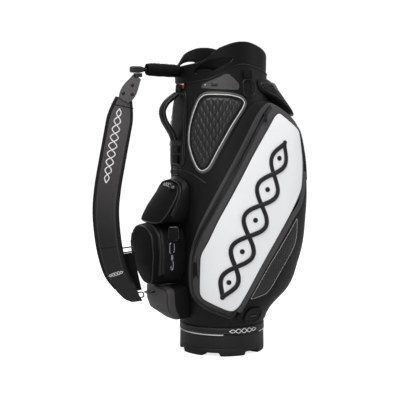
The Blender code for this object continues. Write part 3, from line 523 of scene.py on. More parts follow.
def block(name, centre, axes, sizes, looks, corner=0.25, rise=0.0):
    """A pillow-edged plate: rounded rectangles stacked along the second direction, closed by tips."""
    x, y, z = (unit(v) for v in axes)
    wide_, deep, tall_ = sizes
    radius = min(wide_, tall_) * corner
    rings = []
    for share, shrink in ((-0.5, 0.6), (-0.42, 0.92), (-0.25, 1.0), (0.25, 1.0), (0.42, 0.92), (0.5, 0.6)):
        drop = (1 - shrink) * min(deep, radius) * 0.9
        middle = np.asarray(centre, float) + y * deep * share
        rings.append(loop_path(middle, x, z, wide_ - 2 * drop, tall_ - 2 * drop, radius))
    tips = [np.asarray(centre, float) + y * deep * (s + r) for s, r in ((-0.5, 0), (0.5, rise))]
    return loft(name, rings, looks, tips[0], tips[1], crease=35)


def wire_loop(name, centre, x, y, width, height, corner, looks, radius=0.0019):
    """A bent wire ring."""
    path = loop_path(centre, x, y, width, height, corner, steps=9)
    outward = path - np.asarray(centre, float)
    return sweep(name, path, outward, oval(2 * radius, 2 * radius, 12), looks, closed=True)


def settle(piece, body="bag", stands_for=()):
    """Names the body the piece rides on and hides the frame nodes it stands for."""
    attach(piece, body)
    if stands_for:
        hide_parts(*stands_for)
    return piece


def patch(name, base, face, inner, outer, looks, edge=0.006, wall=None, count=240, fill=18,
          split=0.72, detail=None, least=0.002):
    """A stuffed patch.

    Its back follows the inner skin inside the base outline. Its wall runs from the base outline to the face
    outline while the radius goes from the inner to the outer skin as a power of that share. Its face drops by
    `edge` at its outline as a quarter circle, and inside that follows the outer skin plus the detail's height.
    """
    guide = face
    base = even(base, count, guide)
    face = even(face, count)
    middle = face.mean(0)

    def skin(line, function, extra=0.0):
        return place(line[:, 0], function(line[:, 0], line[:, 1]) + extra, line[:, 1])

    def between(line, share, drop=0.0):
        low = inner(line[:, 0], line[:, 1])
        depth = np.maximum(outer(line[:, 0], line[:, 1]) - low, least)
        return place(line[:, 0], low + depth * share - np.minimum(drop, 0.4 * depth), line[:, 1])

    rings = []
    lines = []
    slots = []
    for share in (0.15, 0.4, 0.6, 0.8, 1.0):
        line = middle + (base - middle) * share
        rings.append(skin(line, inner))
        lines.append(line)
        slots.append(0)
    steps = (0.04, 0.12, 0.25, 0.4, 0.55, 0.68, split, split + 0.02, 0.82, 0.92) if wall is None else wall
    for share in steps:
        line = base + (face - base) * share
        rise = share ** 0.82
        rings.append(between(line, rise, edge * share ** 3))
        lines.append(line)
        slots.append(0 if share <= split else 1)
    widths = [0.0, 0.12, 0.3, 0.55, 0.8, 1.0]
    for share in widths:
        line = inset(face, edge * share, outer) if edge > 0.0005 else face
        rings.append(between(line, 1.0, edge * (1 - np.sqrt(1 - (1 - share) ** 2))))
        lines.append(line)
        slots.append(1)
    last = lines[-1]
    for share in (1 - np.arange(1, fill) / fill):
        line = middle + (last - middle) * share
        extra = 0.0 if detail is None else detail(line[:, 0], line[:, 1], 1 - share)
        rings.append(skin(line, outer, extra))
        lines.append(line)
        slots.append(1)
    tip = middle[None]
    extra = 0.0 if detail is None else detail(tip[:, 0], tip[:, 1], np.ones(1))
    where = np.stack(lines)
    uv = np.stack([where[..., 0] * PER_DEGREE * 0.15, where[..., 1]], -1)
    return loft(name, rings, looks, skin(tip, inner)[0], skin(tip, outer, extra)[0], slots=slots[:-1], uv=uv)


# ---------------------------------------------------------------- materials

LOOKS = {}


def node(tree, kind, values=None, links=None, **settings):
    """Adds a node: settings are its own, values go into its sockets, links come from other nodes."""
    made = tree.nodes.new(kind)
    for key, value in settings.items():
        setattr(made, key, value)
    for key, value in (values or {}).items():
        made.inputs[key].default_value = value
    for key, source in (links or {}).items():
        tree.links.new(source, made.inputs[key])
    return made


def fresh(name, shader_values):
    """A new material with one shader, whose all-over values stand on the shader's own sockets."""
    look = bpy.data.materials.new(name)
    look.use_nodes = True
    tree = look.node_tree
    tree.nodes.clear()
    shader = node(tree, "ShaderNodeBsdfPrincipled", shader_values)
    node(tree, "ShaderNodeOutputMaterial", links={"Surface": shader.outputs[0]})
    LOOKS[name] = look
    return tree, shader


def tinted(tree, shader, factor, colour, dark, light):
    """Base colour between a darker and a lighter shade of the colour, by a factor."""
    low = [c * dark for c in colour] + [1.0]
    high = [min(1.0, c * light) for c in colour] + [1.0]
    mix = node(tree, "ShaderNodeMix", {6: low, 7: high}, {0: factor}, data_type="RGBA")
    tree.links.new(mix.outputs[2], shader.inputs["Base Color"])
    return mix


def leather(name, colour, grain, roughness, relief, specular=0.5, dark=0.85, light=1.15, shade_heights=None):
    """Polyurethane leather: pebbled grain of the given size in metres, soft creases, slightly uneven gloss.

    Given two heights, the colour runs to its darker shade from the second height down to the first: painted shade for
    the light falling off lower down.
    """
    tree, shader = fresh(name, {"Roughness": roughness, "Specular IOR Level": specular, "IOR": 1.5})
    position = node(tree, "ShaderNodeTexCoord").outputs["Object"]
    broad = node(tree, "ShaderNodeTexNoise", {"Scale": 14.0, "Detail": 4.0, "Roughness": 0.6}, {"Vector": position})
    shade = broad.outputs["Fac"]
    if shade_heights:
        # Painted light and shade: the colour is darker lower down and lighter higher up, as if lit by lamps above.
        height = node(tree, "ShaderNodeSeparateXYZ", links={"Vector": position}).outputs["Z"]
        rise = node(tree, "ShaderNodeMapRange", {"From Min": shade_heights[0], "From Max": shade_heights[1]}, {"Value": height})
        uneven = node(tree, "ShaderNodeMapRange", {"To Min": 0.82, "To Max": 1.0}, {"Value": shade})
        shade = node(tree, "ShaderNodeMath", links={0: rise.outputs["Result"], 1: uneven.outputs["Result"]},
                     operation="MULTIPLY").outputs[0]
    tinted(tree, shader, shade, colour, dark, light)
    pebble = node(tree, "ShaderNodeTexVoronoi", {"Scale": 1 / grain, "Randomness": 0.9}, {"Vector": position},
                  feature="SMOOTH_F1")
    crease = node(tree, "ShaderNodeTexNoise", {"Scale": 45.0, "Detail": 6.0, "Distortion": 0.6}, {"Vector": position})
    gloss = node(tree, "ShaderNodeMapRange", {"To Min": roughness - 0.08, "To Max": roughness + 0.10},
                 {"Value": crease.outputs["Fac"]})
    tree.links.new(gloss.outputs["Result"], shader.inputs["Roughness"])
    fine = node(tree, "ShaderNodeBump", {"Strength": 0.5, "Distance": relief}, {"Height": pebble.outputs["Distance"]})
    soft = node(tree, "ShaderNodeBump", {"Strength": 0.35, "Distance": 0.0012},
                {"Height": crease.outputs["Fac"], "Normal": fine.outputs["Normal"]})
    tree.links.new(soft.outputs["Normal"], shader.inputs["Normal"])
    return tree, shader


def woven(name, colour, thread, roughness, specular=0.25, sheen=0.1, coordinates="Object", slope=0.35):
    """Woven nylon: two crossing waves at the thread spacing raise the threads and shade them."""
    tree, shader = fresh(name, {"Roughness": roughness, "Specular IOR Level": specular, "Sheen Weight": sheen,
                                "Sheen Roughness": 0.5, "IOR": 1.53})
    source = node(tree, "ShaderNodeTexCoord").outputs[coordinates]
    turned = node(tree, "ShaderNodeMapping", {"Rotation": (0.0, slope if coordinates == "Object" else 0.0, slope)},
                  {"Vector": source}).outputs["Vector"]
    warp = node(tree, "ShaderNodeTexWave", {"Scale": 0.314 / thread, "Distortion": 0.3}, {"Vector": turned},
                bands_direction="X")
    weft = node(tree, "ShaderNodeTexWave", {"Scale": 0.314 / thread, "Distortion": 0.3}, {"Vector": turned},
                bands_direction="Y" if coordinates == "UV" else "Z")
    cloth = node(tree, "ShaderNodeMath", links={0: warp.outputs["Fac"], 1: weft.outputs["Fac"]},
                 operation="MULTIPLY")
    broad = node(tree, "ShaderNodeTexNoise", {"Scale": 22.0, "Detail": 3.0}, {"Vector": source})
    shade = node(tree, "ShaderNodeMath", links={0: cloth.outputs[0], 1: broad.outputs["Fac"]}, operation="ADD")
    tinted(tree, shader, shade.outputs[0], colour, 0.75, 1.2)
    bump = node(tree, "ShaderNodeBump", {"Strength": 0.5, "Distance": thread * 0.35}, {"Height": cloth.outputs[0]})
    tree.links.new(bump.outputs["Normal"], shader.inputs["Normal"])
    return tree, shader


def moulded(name, colour, roughness, grain=0.0012, relief=0.0001, specular=0.5):
    """Injection-moulded plastic: fine spark texture and faint flow marks."""
    tree, shader = fresh(name, {"Roughness": roughness, "Specular IOR Level": specular, "IOR": 1.49})
    source = node(tree, "ShaderNodeTexCoord").outputs["Object"]
    flow = node(tree, "ShaderNodeTexNoise", {"Scale": 9.0, "Detail": 3.0, "Distortion": 0.8}, {"Vector": source})
    tinted(tree, shader, flow.outputs["Fac"], colour, 0.85, 1.18)
    spark = node(tree, "ShaderNodeTexNoise", {"Scale": 1 / grain, "Detail": 2.0}, {"Vector": source})
    gloss = node(tree, "ShaderNodeMapRange", {"To Min": roughness - 0.07, "To Max": roughness + 0.08},
                 {"Value": flow.outputs["Fac"]})
    tree.links.new(gloss.outputs["Result"], shader.inputs["Roughness"])
    bump = node(tree, "ShaderNodeBump", {"Strength": 0.4, "Distance": relief}, {"Height": spark.outputs["Fac"]})
    tree.links.new(bump.outputs["Normal"], shader.inputs["Normal"])
    return tree, shader


def plated(name, colour, roughness):
    """Die-cast and plated metal: slightly cloudy plating with fine rubbing scratches."""
    tree, shader = fresh(name, {"Metallic": 1.0, "Roughness": roughness})
    source = node(tree, "ShaderNodeTexCoord").outputs["Object"]
    cloud = node(tree, "ShaderNodeTexNoise", {"Scale": 120.0, "Detail": 4.0}, {"Vector": source})
    tinted(tree, shader, cloud.outputs["Fac"], colour, 0.8, 1.1)
    rub = node(tree, "ShaderNodeMapping", {"Scale": (1.0, 1.0, 0.1)}, {"Vector": source})
    scratch = node(tree, "ShaderNodeTexNoise", {"Scale": 900.0, "Detail": 3.0}, {"Vector": rub.outputs["Vector"]})
    gloss = node(tree, "ShaderNodeMapRange", {"To Min": roughness * 0.7, "To Max": roughness * 1.5},
                 {"Value": scratch.outputs["Fac"]})
    tree.links.new(gloss.outputs["Result"], shader.inputs["Roughness"])
    return tree, shader


def satin_thread(name, colour, pitch, roughness, specular=0.5, sheen=0.2):
    """Embroidery: satin stitches lie side by side across the stroke, at the pitch, along the piece's own length."""
    tree, shader = fresh(name, {"Roughness": roughness, "Specular IOR Level": specular, "Sheen Weight": sheen,
                                "Sheen Roughness": 0.3, "Anisotropic": 0.4})
    source = node(tree, "ShaderNodeUVMap", uv_map="along").outputs["UV"]
    lay = node(tree, "ShaderNodeTexWave", {"Scale": 0.314 / pitch, "Distortion": 0.6, "Detail": 1.0,
                                           "Detail Scale": 2.0}, {"Vector": source}, bands_direction="X")
    tinted(tree, shader, lay.outputs["Fac"], colour, 0.7, 1.25)
    bump = node(tree, "ShaderNodeBump", {"Strength": 0.6, "Distance": pitch * 0.3}, {"Height": lay.outputs["Fac"]})
    tree.links.new(bump.outputs["Normal"], shader.inputs["Normal"])
    return tree, shader


class GOLFBAG_OT_materials(bpy.types.Operator):
    """Make every material of the bag"""
    bl_idname = "golfbag.materials"
    bl_label = "Materials"

    def execute(self, context):
        c = context.scene.golfbag_colours
        # Polyurethane leather, pebbled: a soft broad highlight with a faint grain.
        leather("leather_charcoal", c.charcoal, 0.0028, 0.50, 0.00016, specular=0.35)
        leather("leather_black", c.black, 0.0028, 0.46, 0.00012, specular=0.18)
        leather("leather_white", c.white, 0.0026, 0.46, 0.00010, specular=0.45, dark=0.97, light=1.02)
        leather("leather_quilted", c.quilted, 0.0020, 0.36, 0.00010, specular=0.40)
        # The strap's colour runs from lighter at its top to darker at its foot: painted light and shade from the lamps
        # above.
        leather("leather_strap", c.strap, 0.0028, 0.55, 0.00014, specular=0.30, dark=0.20, light=1.35,
                shade_heights=(0.33, 0.62))
        # Nylon pack cloth: matt, with a close weave. Its threads are drawn 1.6 mm apart, coarser than real.
        woven("nylon_pouch", c.fabric, 0.0016, 0.66, specular=0.08, sheen=0.0)
        # Nylon lining inside the bag: matt and a little lighter where threads cross.
        woven("nylon_lining", linear("#161617"), 0.0020, 0.80, sheen=0.0)
        # Polyester webbing: heavy ribs across the tape.
        woven("webbing_polyester", linear("#0d0d0e"), 0.0024, 0.70, specular=0.12, sheen=0.0,
              coordinates="Object", slope=0.0)
        # Zip tape: fine matt polyester beside the teeth.
        woven("zip_tape", linear("#141414"), 0.0012, 0.75)
        # Spacer mesh on the strap's inner side: open knitted cells, dull.
        woven("spacer_mesh", linear("#232324"), 0.0032, 0.85, sheen=0.2)
        # Vinyl-covered cord: bright, smooth, with a narrow highlight.
        moulded("piping_vinyl", c.piping, 0.35, grain=0.003)
        # Grey vinyl welt beside the white cord.
        moulded("piping_grey", linear("#4c4b4b"), 0.45, grain=0.003)
        # Black vinyl welt at the pockets' edges: smoother than the leather, so it catches a thin light line.
        moulded("piping_black", linear("#121212"), 0.35, grain=0.003)
        # Moulded polypropylene boot: satin, finely sparked.
        moulded("polypropylene_boot", c.boot, 0.44, grain=0.0014, relief=0.0002, specular=0.3)
        # Soft-touch moulded cuff: near black, broad sheen.
        moulded("thermoplastic_cuff", c.cuff, 0.46, grain=0.0012, relief=0.00015, specular=0.18)
        # Glass-filled nylon of the yoke: grey, satin.
        moulded("nylon_yoke", linear("#474546"), 0.42, grain=0.0012, relief=0.00012)
        moulded("nylon_swivel", linear("#151516"), 0.36, grain=0.0012, relief=0.00012)
        # Moulded zip teeth: small and slightly glossy.
        moulded("zip_teeth", linear("#1b1b1c"), 0.32, grain=0.002)
        # Nickel plate: bright and slightly worn.
        plated("nickel_plate", linear("#88888b"), 0.22)
        # Black nickel plate: dark, still reflective.
        plated("black_nickel", linear("#343437"), 0.28)
        # Rayon embroidery: glossy threads laid side by side, drawn 1.5 mm apart.
        satin_thread("embroidery_black", linear("#0b0b0c"), 0.0015, 0.34, specular=0.35, sheen=0.0)
        satin_thread("embroidery_white", linear("#efefee"), 0.0012, 0.45)
        satin_thread("embroidery_silver", linear("#a9a9ab"), 0.0012, 0.40)
        # Bonded polyester sewing thread.
        moulded("thread_white", c.piping, 0.6, grain=0.002)
        moulded("thread_grey", linear("#5c5b5c"), 0.6, grain=0.002)
        # Vinyl tag: red, satin.
        moulded("vinyl_tag", c.tag, 0.4, grain=0.002)
        return {"FINISHED"}


def looks(*names):
    """Materials by name."""
    return [LOOKS[name] for name in names]


# ---------------------------------------------------------------- sewn details

def cord(name, line, skin, radius, look, gap=0.0, closed=True):
    """Corded piping laid along a (bearing, z) line on a surface."""
    path, normal = on_skin(line, skin, gap + radius * 0.4)
    return sweep(name, path, normal, oval(2 * radius, 2 * radius, 8), looks(look), closed=closed, ends=radius)


def stitched(name, path, normal, look, length=None, gap=1.5, width=0.0009, closed=False):
    """A row of stitches: small grains set end to end with gaps."""
    length = length or bpy.context.scene.golfbag_sizes.stitch
    shape, faces = grain_shape(length, width, width * 0.8)
    return repeat(name, path, normal, length * gap, shape, faces, looks(look), closed=closed)


def zipped(name, path, normal, body="bag", tape=0.020, closed=False):
    """A zip: a flat tape, two rows of teeth that mesh in the middle, and a folded edge on each side."""
    pitch = bpy.context.scene.golfbag_sizes.zip_pitch
    across = np.cross(np.gradient(path, axis=0), normal)
    across = across / np.linalg.norm(across, axis=1)[:, None]
    shape, faces = brick_shape(pitch * 0.62, 0.0026, 0.0016)
    parts = [sweep("tape", path, normal, oval(tape, 0.0010, 12, 4.0), looks("zip_tape"), closed=closed, ends=0.001)]
    for side in (-1, 1):
        row = path + across * side * 0.0011 + normal * 0.0011
        parts.append(repeat("row", row, normal, pitch, shape, faces, looks("zip_teeth"), closed=closed))
        edge = path + across * side * 0.0042 + normal * 0.0008
        parts.append(sweep("edge", edge, normal, oval(0.0036, 0.0018, 8, 2.5), looks("piping_black"),
                           closed=closed, ends=0.001))
    return settle(joined(name, parts), body)


def braid(name, path, outward, across, swing, waves, stroke, height, look, body="bag", dots=True):
    """A plain braid ornament: two strokes swing as sines to opposite sides of a line, with dots in the loops.

    The swing grows and fades as the sine of half a turn along the line, to the power 0.6.
    """
    count = len(path)
    share = np.linspace(0, 1, count)
    wave = np.sin(share * np.pi * waves) * swing * np.sin(np.clip(share, 0.0, 1.0) * np.pi) ** 0.35
    lift = 0.35 * height * np.cos(share * np.pi * waves)
    parts = []
    for sign in (1, -1):
        line = path + across * (sign * wave)[:, None] + outward * (sign * lift)[:, None]
        parts.append(sweep("stroke", line, outward, oval(2 * stroke, 2 * height, 10), looks(look), ends=stroke))
    if dots:
        for k in range(waves):
            middle = int(round((k + 0.5) / waves * (count - 1)))
            spot = path[middle]
            turn = np.arange(16) * np.pi / 8
            along = unit(np.cross(outward[middle], across[middle]))
            rings = []
            for angle in np.radians([5, 30, 55, 78]):
                ring = np.cos(turn)[:, None] * across[middle] + np.sin(turn)[:, None] * along
                rings.append(spot + ring * stroke * 1.1 * np.cos(angle) + outward[middle] * height * np.sin(angle))
            rings = [spot + (rings[0] - spot) - outward[middle] * height * 0.6, *rings]
            parts.append(loft("dot", rings, looks(look), rings[0].mean(0), spot + outward[middle] * height,
                              uv=np.zeros((5, 16, 2))))
    return settle(joined(name, parts), body)


# ---------------------------------------------------------------- the body

class GOLFBAG_OT_body(bpy.types.Operator):
    """Make the body's cover and lining, its seams and the grey panels under the cuff"""
    bl_idname = "golfbag.body"
    bl_label = "Body"

    def execute(self, context):
        count = 300
        bearing = (np.arange(count) + 0.5) * 360.0 / count
        seam = around(SEAM, bearing) - 0.0008
        inside = RADIUS - 0.0045 - 0.0008
        outer = [place(bearing, inside + 0 * bearing, z) for z in (0.0195, 0.050, 0.0790)]
        outer.append(place(bearing, 0.1150 + 0 * bearing, 0.0797))
        outer.append(place(bearing, 0.1170 + 0 * bearing, 0.0812))
        for share in np.linspace(0, 1, 110):
            z = 0.0850 + (seam - 0.0850) * share
            soft = 0.0004 * np.sin(bearing * 0.21 + 41 * z) * np.sin(63 * z - 0.13 * bearing)
            outer.append(place(bearing, body_skin(bearing, z) + soft, z))
        inner = []
        for ring in outer[::-6]:
            flat = np.hypot(ring[:, 0], ring[:, 1])[:, None]
            inner.append(ring * np.hstack([(flat - 0.003) / flat, (flat - 0.003) / flat, 1 + 0 * flat]))
        slots = [0] * (len(outer) - 1) + [1] * (len(inner) + 1)
        cover = loft("body_cover", outer + inner, looks("leather_black", "nylon_lining"), wrap=True, slots=slots)
        settle(cover, stands_for=["body_shell"])
        for side, mirror in (("right", False), ("left", True)):
            sign = -1 if mirror else 1
            line = even(rounded(YOKE_PANEL, mirror=mirror, cut=0.12), 160)
            panel = patch("neck_panel_" + side, line, line, raised(body_skin, 0.0004), raised(body_skin, 0.0020),
                          looks("leather_charcoal", "leather_charcoal"), edge=0.0011, wall=(0.2, 0.6), count=160)
            settle(panel)
            path, normal = on_skin(even(inset(line, 0.0035, body_skin), 160), body_skin, 0.0020)
            settle(stitched("neck_stitches_" + side, path, normal, "thread_grey", closed=True))
            arc = curve([(sign * 47.0, .4680), (sign * 34.8, .4856), (sign * 23.6, .4960), (sign * 8.0, .5000),
                         (0.0, .5005)], 60)
            settle(cord("spine_seam_" + side, arc, body_skin, 0.0014, "piping_black", closed=False))
            spot, normal = on_skin(np.array([(sign * 43.5, .7225)]), body_skin, 0.0022)
            settle(rivet("neck_rivet_" + side, spot[0], normal[0], 0.0034))
            seat, face, sideways, up = frame_at(sign * 55.0, .8665, body_skin, 0.0030)
            settle(block("neck_buckle_" + side, seat, (sideways, face, up), (0.017, 0.0034, 0.010),
                         looks("nylon_swivel"), corner=0.3))
        return {"FINISHED"}


def rivet(name, spot, normal, radius):
    """A domed rivet: rings whose radius falls as the cosine while they rise as the sine, over a flat rim."""
    normal = unit(normal)
    first = unit(np.cross(normal, (0.0, 0.1, 1.0)))
    second = np.cross(normal, first)
    turn = np.arange(20) * np.pi / 10
    ring = np.cos(turn)[:, None] * first + np.sin(turn)[:, None] * second
    profile = [(1.0, -0.3), (1.0, 0.10), (0.94, 0.16), (0.80, 0.16), (0.74, 0.20), (0.64, 0.42), (0.45, 0.55),
               (0.2, 0.62)]
    rings = [spot + ring * radius * r + normal * radius * h for r, h in profile]
    return loft(name, rings, looks("nickel_plate"), spot - normal * radius * 0.3, spot + normal * radius * 0.64)


# ---------------------------------------------------------------- the base

class GOLFBAG_OT_base(bpy.types.Operator):
    """Make the boot with its feet, the collar above it and the white piping between them"""
    bl_idname = "golfbag.base"
    bl_label = "Base"

    def execute(self, context):
        count = 360
        bearing = np.arange(count) * 360.0 / count
        away = np.abs((bearing - 19.3 + 30) % 60 - 30)
        share = np.clip((away - 16.6) / 3.0, 0, 1)
        lift = FOOT_HEIGHT * share * share * (3 - 2 * share)
        foot = 1 - share * share * (3 - 2 * share)
        top = 0.0675 * HEIGHT
        outer = RADIUS
        profile = [(0.032, 0.0, 0), (0.0345, 0.0006, 0), (0.036, FOOT_HEIGHT, 0), (0.74 * outer, FOOT_HEIGHT, 0),
                   (0.745 * outer, 0.0014, 1), (0.755 * outer, 0.0, 1), (outer - 0.0032, 0.0, 1),
                   (outer - 0.0016, 0.0005, 1), (outer - 0.0004, 0.0022, 1), (outer, 0.0042, 1),
                   (outer, 0.019, 2), (outer - 0.0004, 0.0196, 2), (outer - 0.0010, 0.0202, 2),
                   (outer - 0.0010, 0.0212, 2), (outer - 0.0002, 0.0218, 2), (outer, 0.0226, 2),
                   (outer, top - 0.0012, 3),
                   (outer - 0.0008, top, 3), (outer - 0.0037, top, 3), (outer - 0.0045, top - 0.0008, 3),
                   (outer - 0.0045, FOOT_HEIGHT + 0.006, 3), (0.3 * outer, FOOT_HEIGHT + 0.006, 3)]
        rings = []
        for radius, z, kind in profile:
            height = z + (lift if kind == 1 else 0.0) + 0 * bearing
            width = radius + (0.0006 * foot if kind in (1, 2) and radius > 0.9 * outer else 0.0) + 0 * bearing
            rings.append(place(bearing, width, height))
        boot = loft("boot", rings, looks("polypropylene_boot"), (0, 0, 0.0), (0, 0, FOOT_HEIGHT + 0.006), crease=32)
        settle(boot, stands_for=["base_boot"])
        z = 0.0700 * HEIGHT
        turn = np.linspace(124.5, 360 + 65.5, 220)
        path = place(turn, outer + 0.0004, z)
        piping = sweep("base_cord", path, place(turn, 1.0, 0.0), oval(0.0030, 0.0028, 10), looks("piping_vinyl"),
                       ends=0.0014)
        settle(piping, stands_for=["base_piping"])
        turn = np.linspace(66.5, 123.5, 60)
        plain = sweep("base_cord_plain", place(turn, outer - 0.0008, z), place(turn, 1.0, 0.0),
                      oval(0.0034, 0.0034, 10), looks("polypropylene_boot"), ends=0.001)
        settle(plain)
        turn = np.linspace(74.0, 116.0, 160)
        braid("boot_braid", place(turn, outer + 0.0013, 0.0685), place(turn, 1.0, 0.0),
              np.tile((0.0, 0.0, 1.0), (160, 1)), 0.0058, 5, 0.0010, 0.0006, "embroidery_white", dots=False)
        low = z + 0.0022
        high = 0.0935 * HEIGHT
        profile = [(outer - 0.0042, low), (outer - 0.0010, low), (outer + 0.0004, low + 0.0006),
                   (outer + 0.0010, low + 0.0022), (outer + 0.0011, (low + high) / 2), (outer + 0.0009, high - 0.0025),
                   (outer + 0.0002, high - 0.0008), (outer - 0.0012, high), (outer - 0.0042, high)]
        turn = np.arange(240) * 1.5
        rings = [place(turn, r + 0 * turn, h) for r, h in profile]
        collar = loft("boot_collar", rings, looks("polypropylene_boot"), wrap=True, crease=40)
        settle(collar, stands_for=["base_collar"])
        for shift in (low + 0.0030, high - 0.0036):
            path = place(turn, outer + 0.0012, shift)
            settle(stitched("collar_stitches_%d" % round(shift * 1e4), path, place(turn, 1.0, 0.0), "thread_grey",
                            closed=True))
        return {"FINISHED"}


# ---------------------------------------------------------------- the cuff

class GOLFBAG_OT_cuff(bpy.types.Operator):
    """Make the moulded cuff with its two hand holes and finish the divider below it"""
    bl_idname = "golfbag.cuff"
    bl_label = "Cuff"

    def execute(self, context):
        count = 260
        bearing = (np.arange(count) + 0.5) * 360.0 / count
        low = around(SEAM, bearing)
        high = around(RIM, bearing)
        span = high - low
        wall = 0.006
        profile = [(-wall, 0.0, 0.0), (-0.001, 0.0, 0.0), (-0.0003, 0.0006, 0.0), (0.0, 0.0025, 0.0)]
        profile += [(0.0010 * s, 0.0, s) for s in (0.12, 0.25, 0.38, 0.5, 0.62, 0.75, 0.88)]
        profile += [(0.0008, -0.0032, 1.0), (0.0004, -0.0016, 1.0), (-0.0006, -0.0005, 1.0), (-0.0022, 0.0, 1.0),
                    (-wall + 0.0020, 0.0, 1.0), (-wall + 0.0006, -0.0010, 1.0), (-wall, -0.0026, 1.0)]
        profile += [(-wall, 0.0, s) for s in (0.8, 0.6, 0.4, 0.2)]
        rings = []
        for out, up, share in profile:
            z = low + span * share + up
            rings.append(place(bearing, cuff_skin(bearing, z) + out, z))
        cuff = loft("cuff", rings, looks("thermoplastic_cuff"), wrap=True)
        for side, mirror in (("right", False), ("left", True)):
            line = even(rounded(CUFF_HOLE, mirror=mirror), 96)
            near = place(line[:, 0], cuff_skin(line[:, 0], line[:, 1]) - 0.03, line[:, 1])
            far = place(line[:, 0], cuff_skin(line[:, 0], line[:, 1]) + 0.03, line[:, 1])
            cutter = loft("hole_" + side, [near, far], looks("thermoplastic_cuff"), near.mean(0), far.mean(0))
            step = cuff.modifiers.new("hole_" + side, "BOOLEAN")
            step.operation = "DIFFERENCE"
            step.solver = "EXACT"
            step.object = cutter
            apply_all(cuff)
            bpy.data.objects.remove(cutter)
        soften = cuff.modifiers.new("edges", "BEVEL")
        soften.width = 0.0012
        soften.segments = 2
        soften.limit_method = "ANGLE"
        soften.angle_limit = np.radians(50)
        apply_all(cuff)
        cuff.data.shade_smooth()
        cuff.data.set_sharp_from_angle(angle=np.radians(48))
        settle(cuff, stands_for=["top_cuff"])
        finish_node("divider_frame", "thermoplastic_cuff")
        turn = np.arange(300) * 1.2
        line = np.stack([turn, around(SEAM, turn) - 0.0005], 1)
        path = place(turn, body_skin(turn, line[:, 1]) + 0.0012, line[:, 1])
        settle(sweep("cuff_seam", path, place(turn, 1.0, 0.0), oval(0.0030, 0.0026, 8), looks("piping_black"),
                     closed=True))
        return {"FINISHED"}


def apply_all(piece):
    """Replaces the piece's mesh by what its modifiers make of it."""
    graph = bpy.context.evaluated_depsgraph_get()
    data = bpy.data.meshes.new_from_object(piece.evaluated_get(graph))
    piece.modifiers.clear()
    piece.data = data


def finish_node(name, look):
    """Gives a frame node a detailed material; its mesh stays as it is."""
    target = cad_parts[name]
    for slot in target.material_slots:
        slot.material = LOOKS[look]


# ---------------------------------------------------------------- pockets and panels

BACK = raised(body_skin, POCKET_GAP)


def pocket_puff(bearing, z, depth):
    """Faint slackness of a pocket's face: two crossing sines, growing away from its edge."""
    wave = np.sin(bearing * 0.11 + 21 * z) * np.sin(27 * z - 0.07 * bearing + 1.0)
    return 0.0012 * wave * np.clip(depth * 3, 0, 1)


def leaf_line(share, off, mirror):
    """Points in the leaf panel's own frame: a share of its long diagonal and a distance across it."""
    per = 0.0033
    bearing = 62.0 + (share * 0.455 * 0.494 + off * 0.869) / per
    z = 0.205 * HEIGHT + share * 0.455 * 0.869 - off * 0.494
    return np.stack([-bearing if mirror else bearing, z], -1)


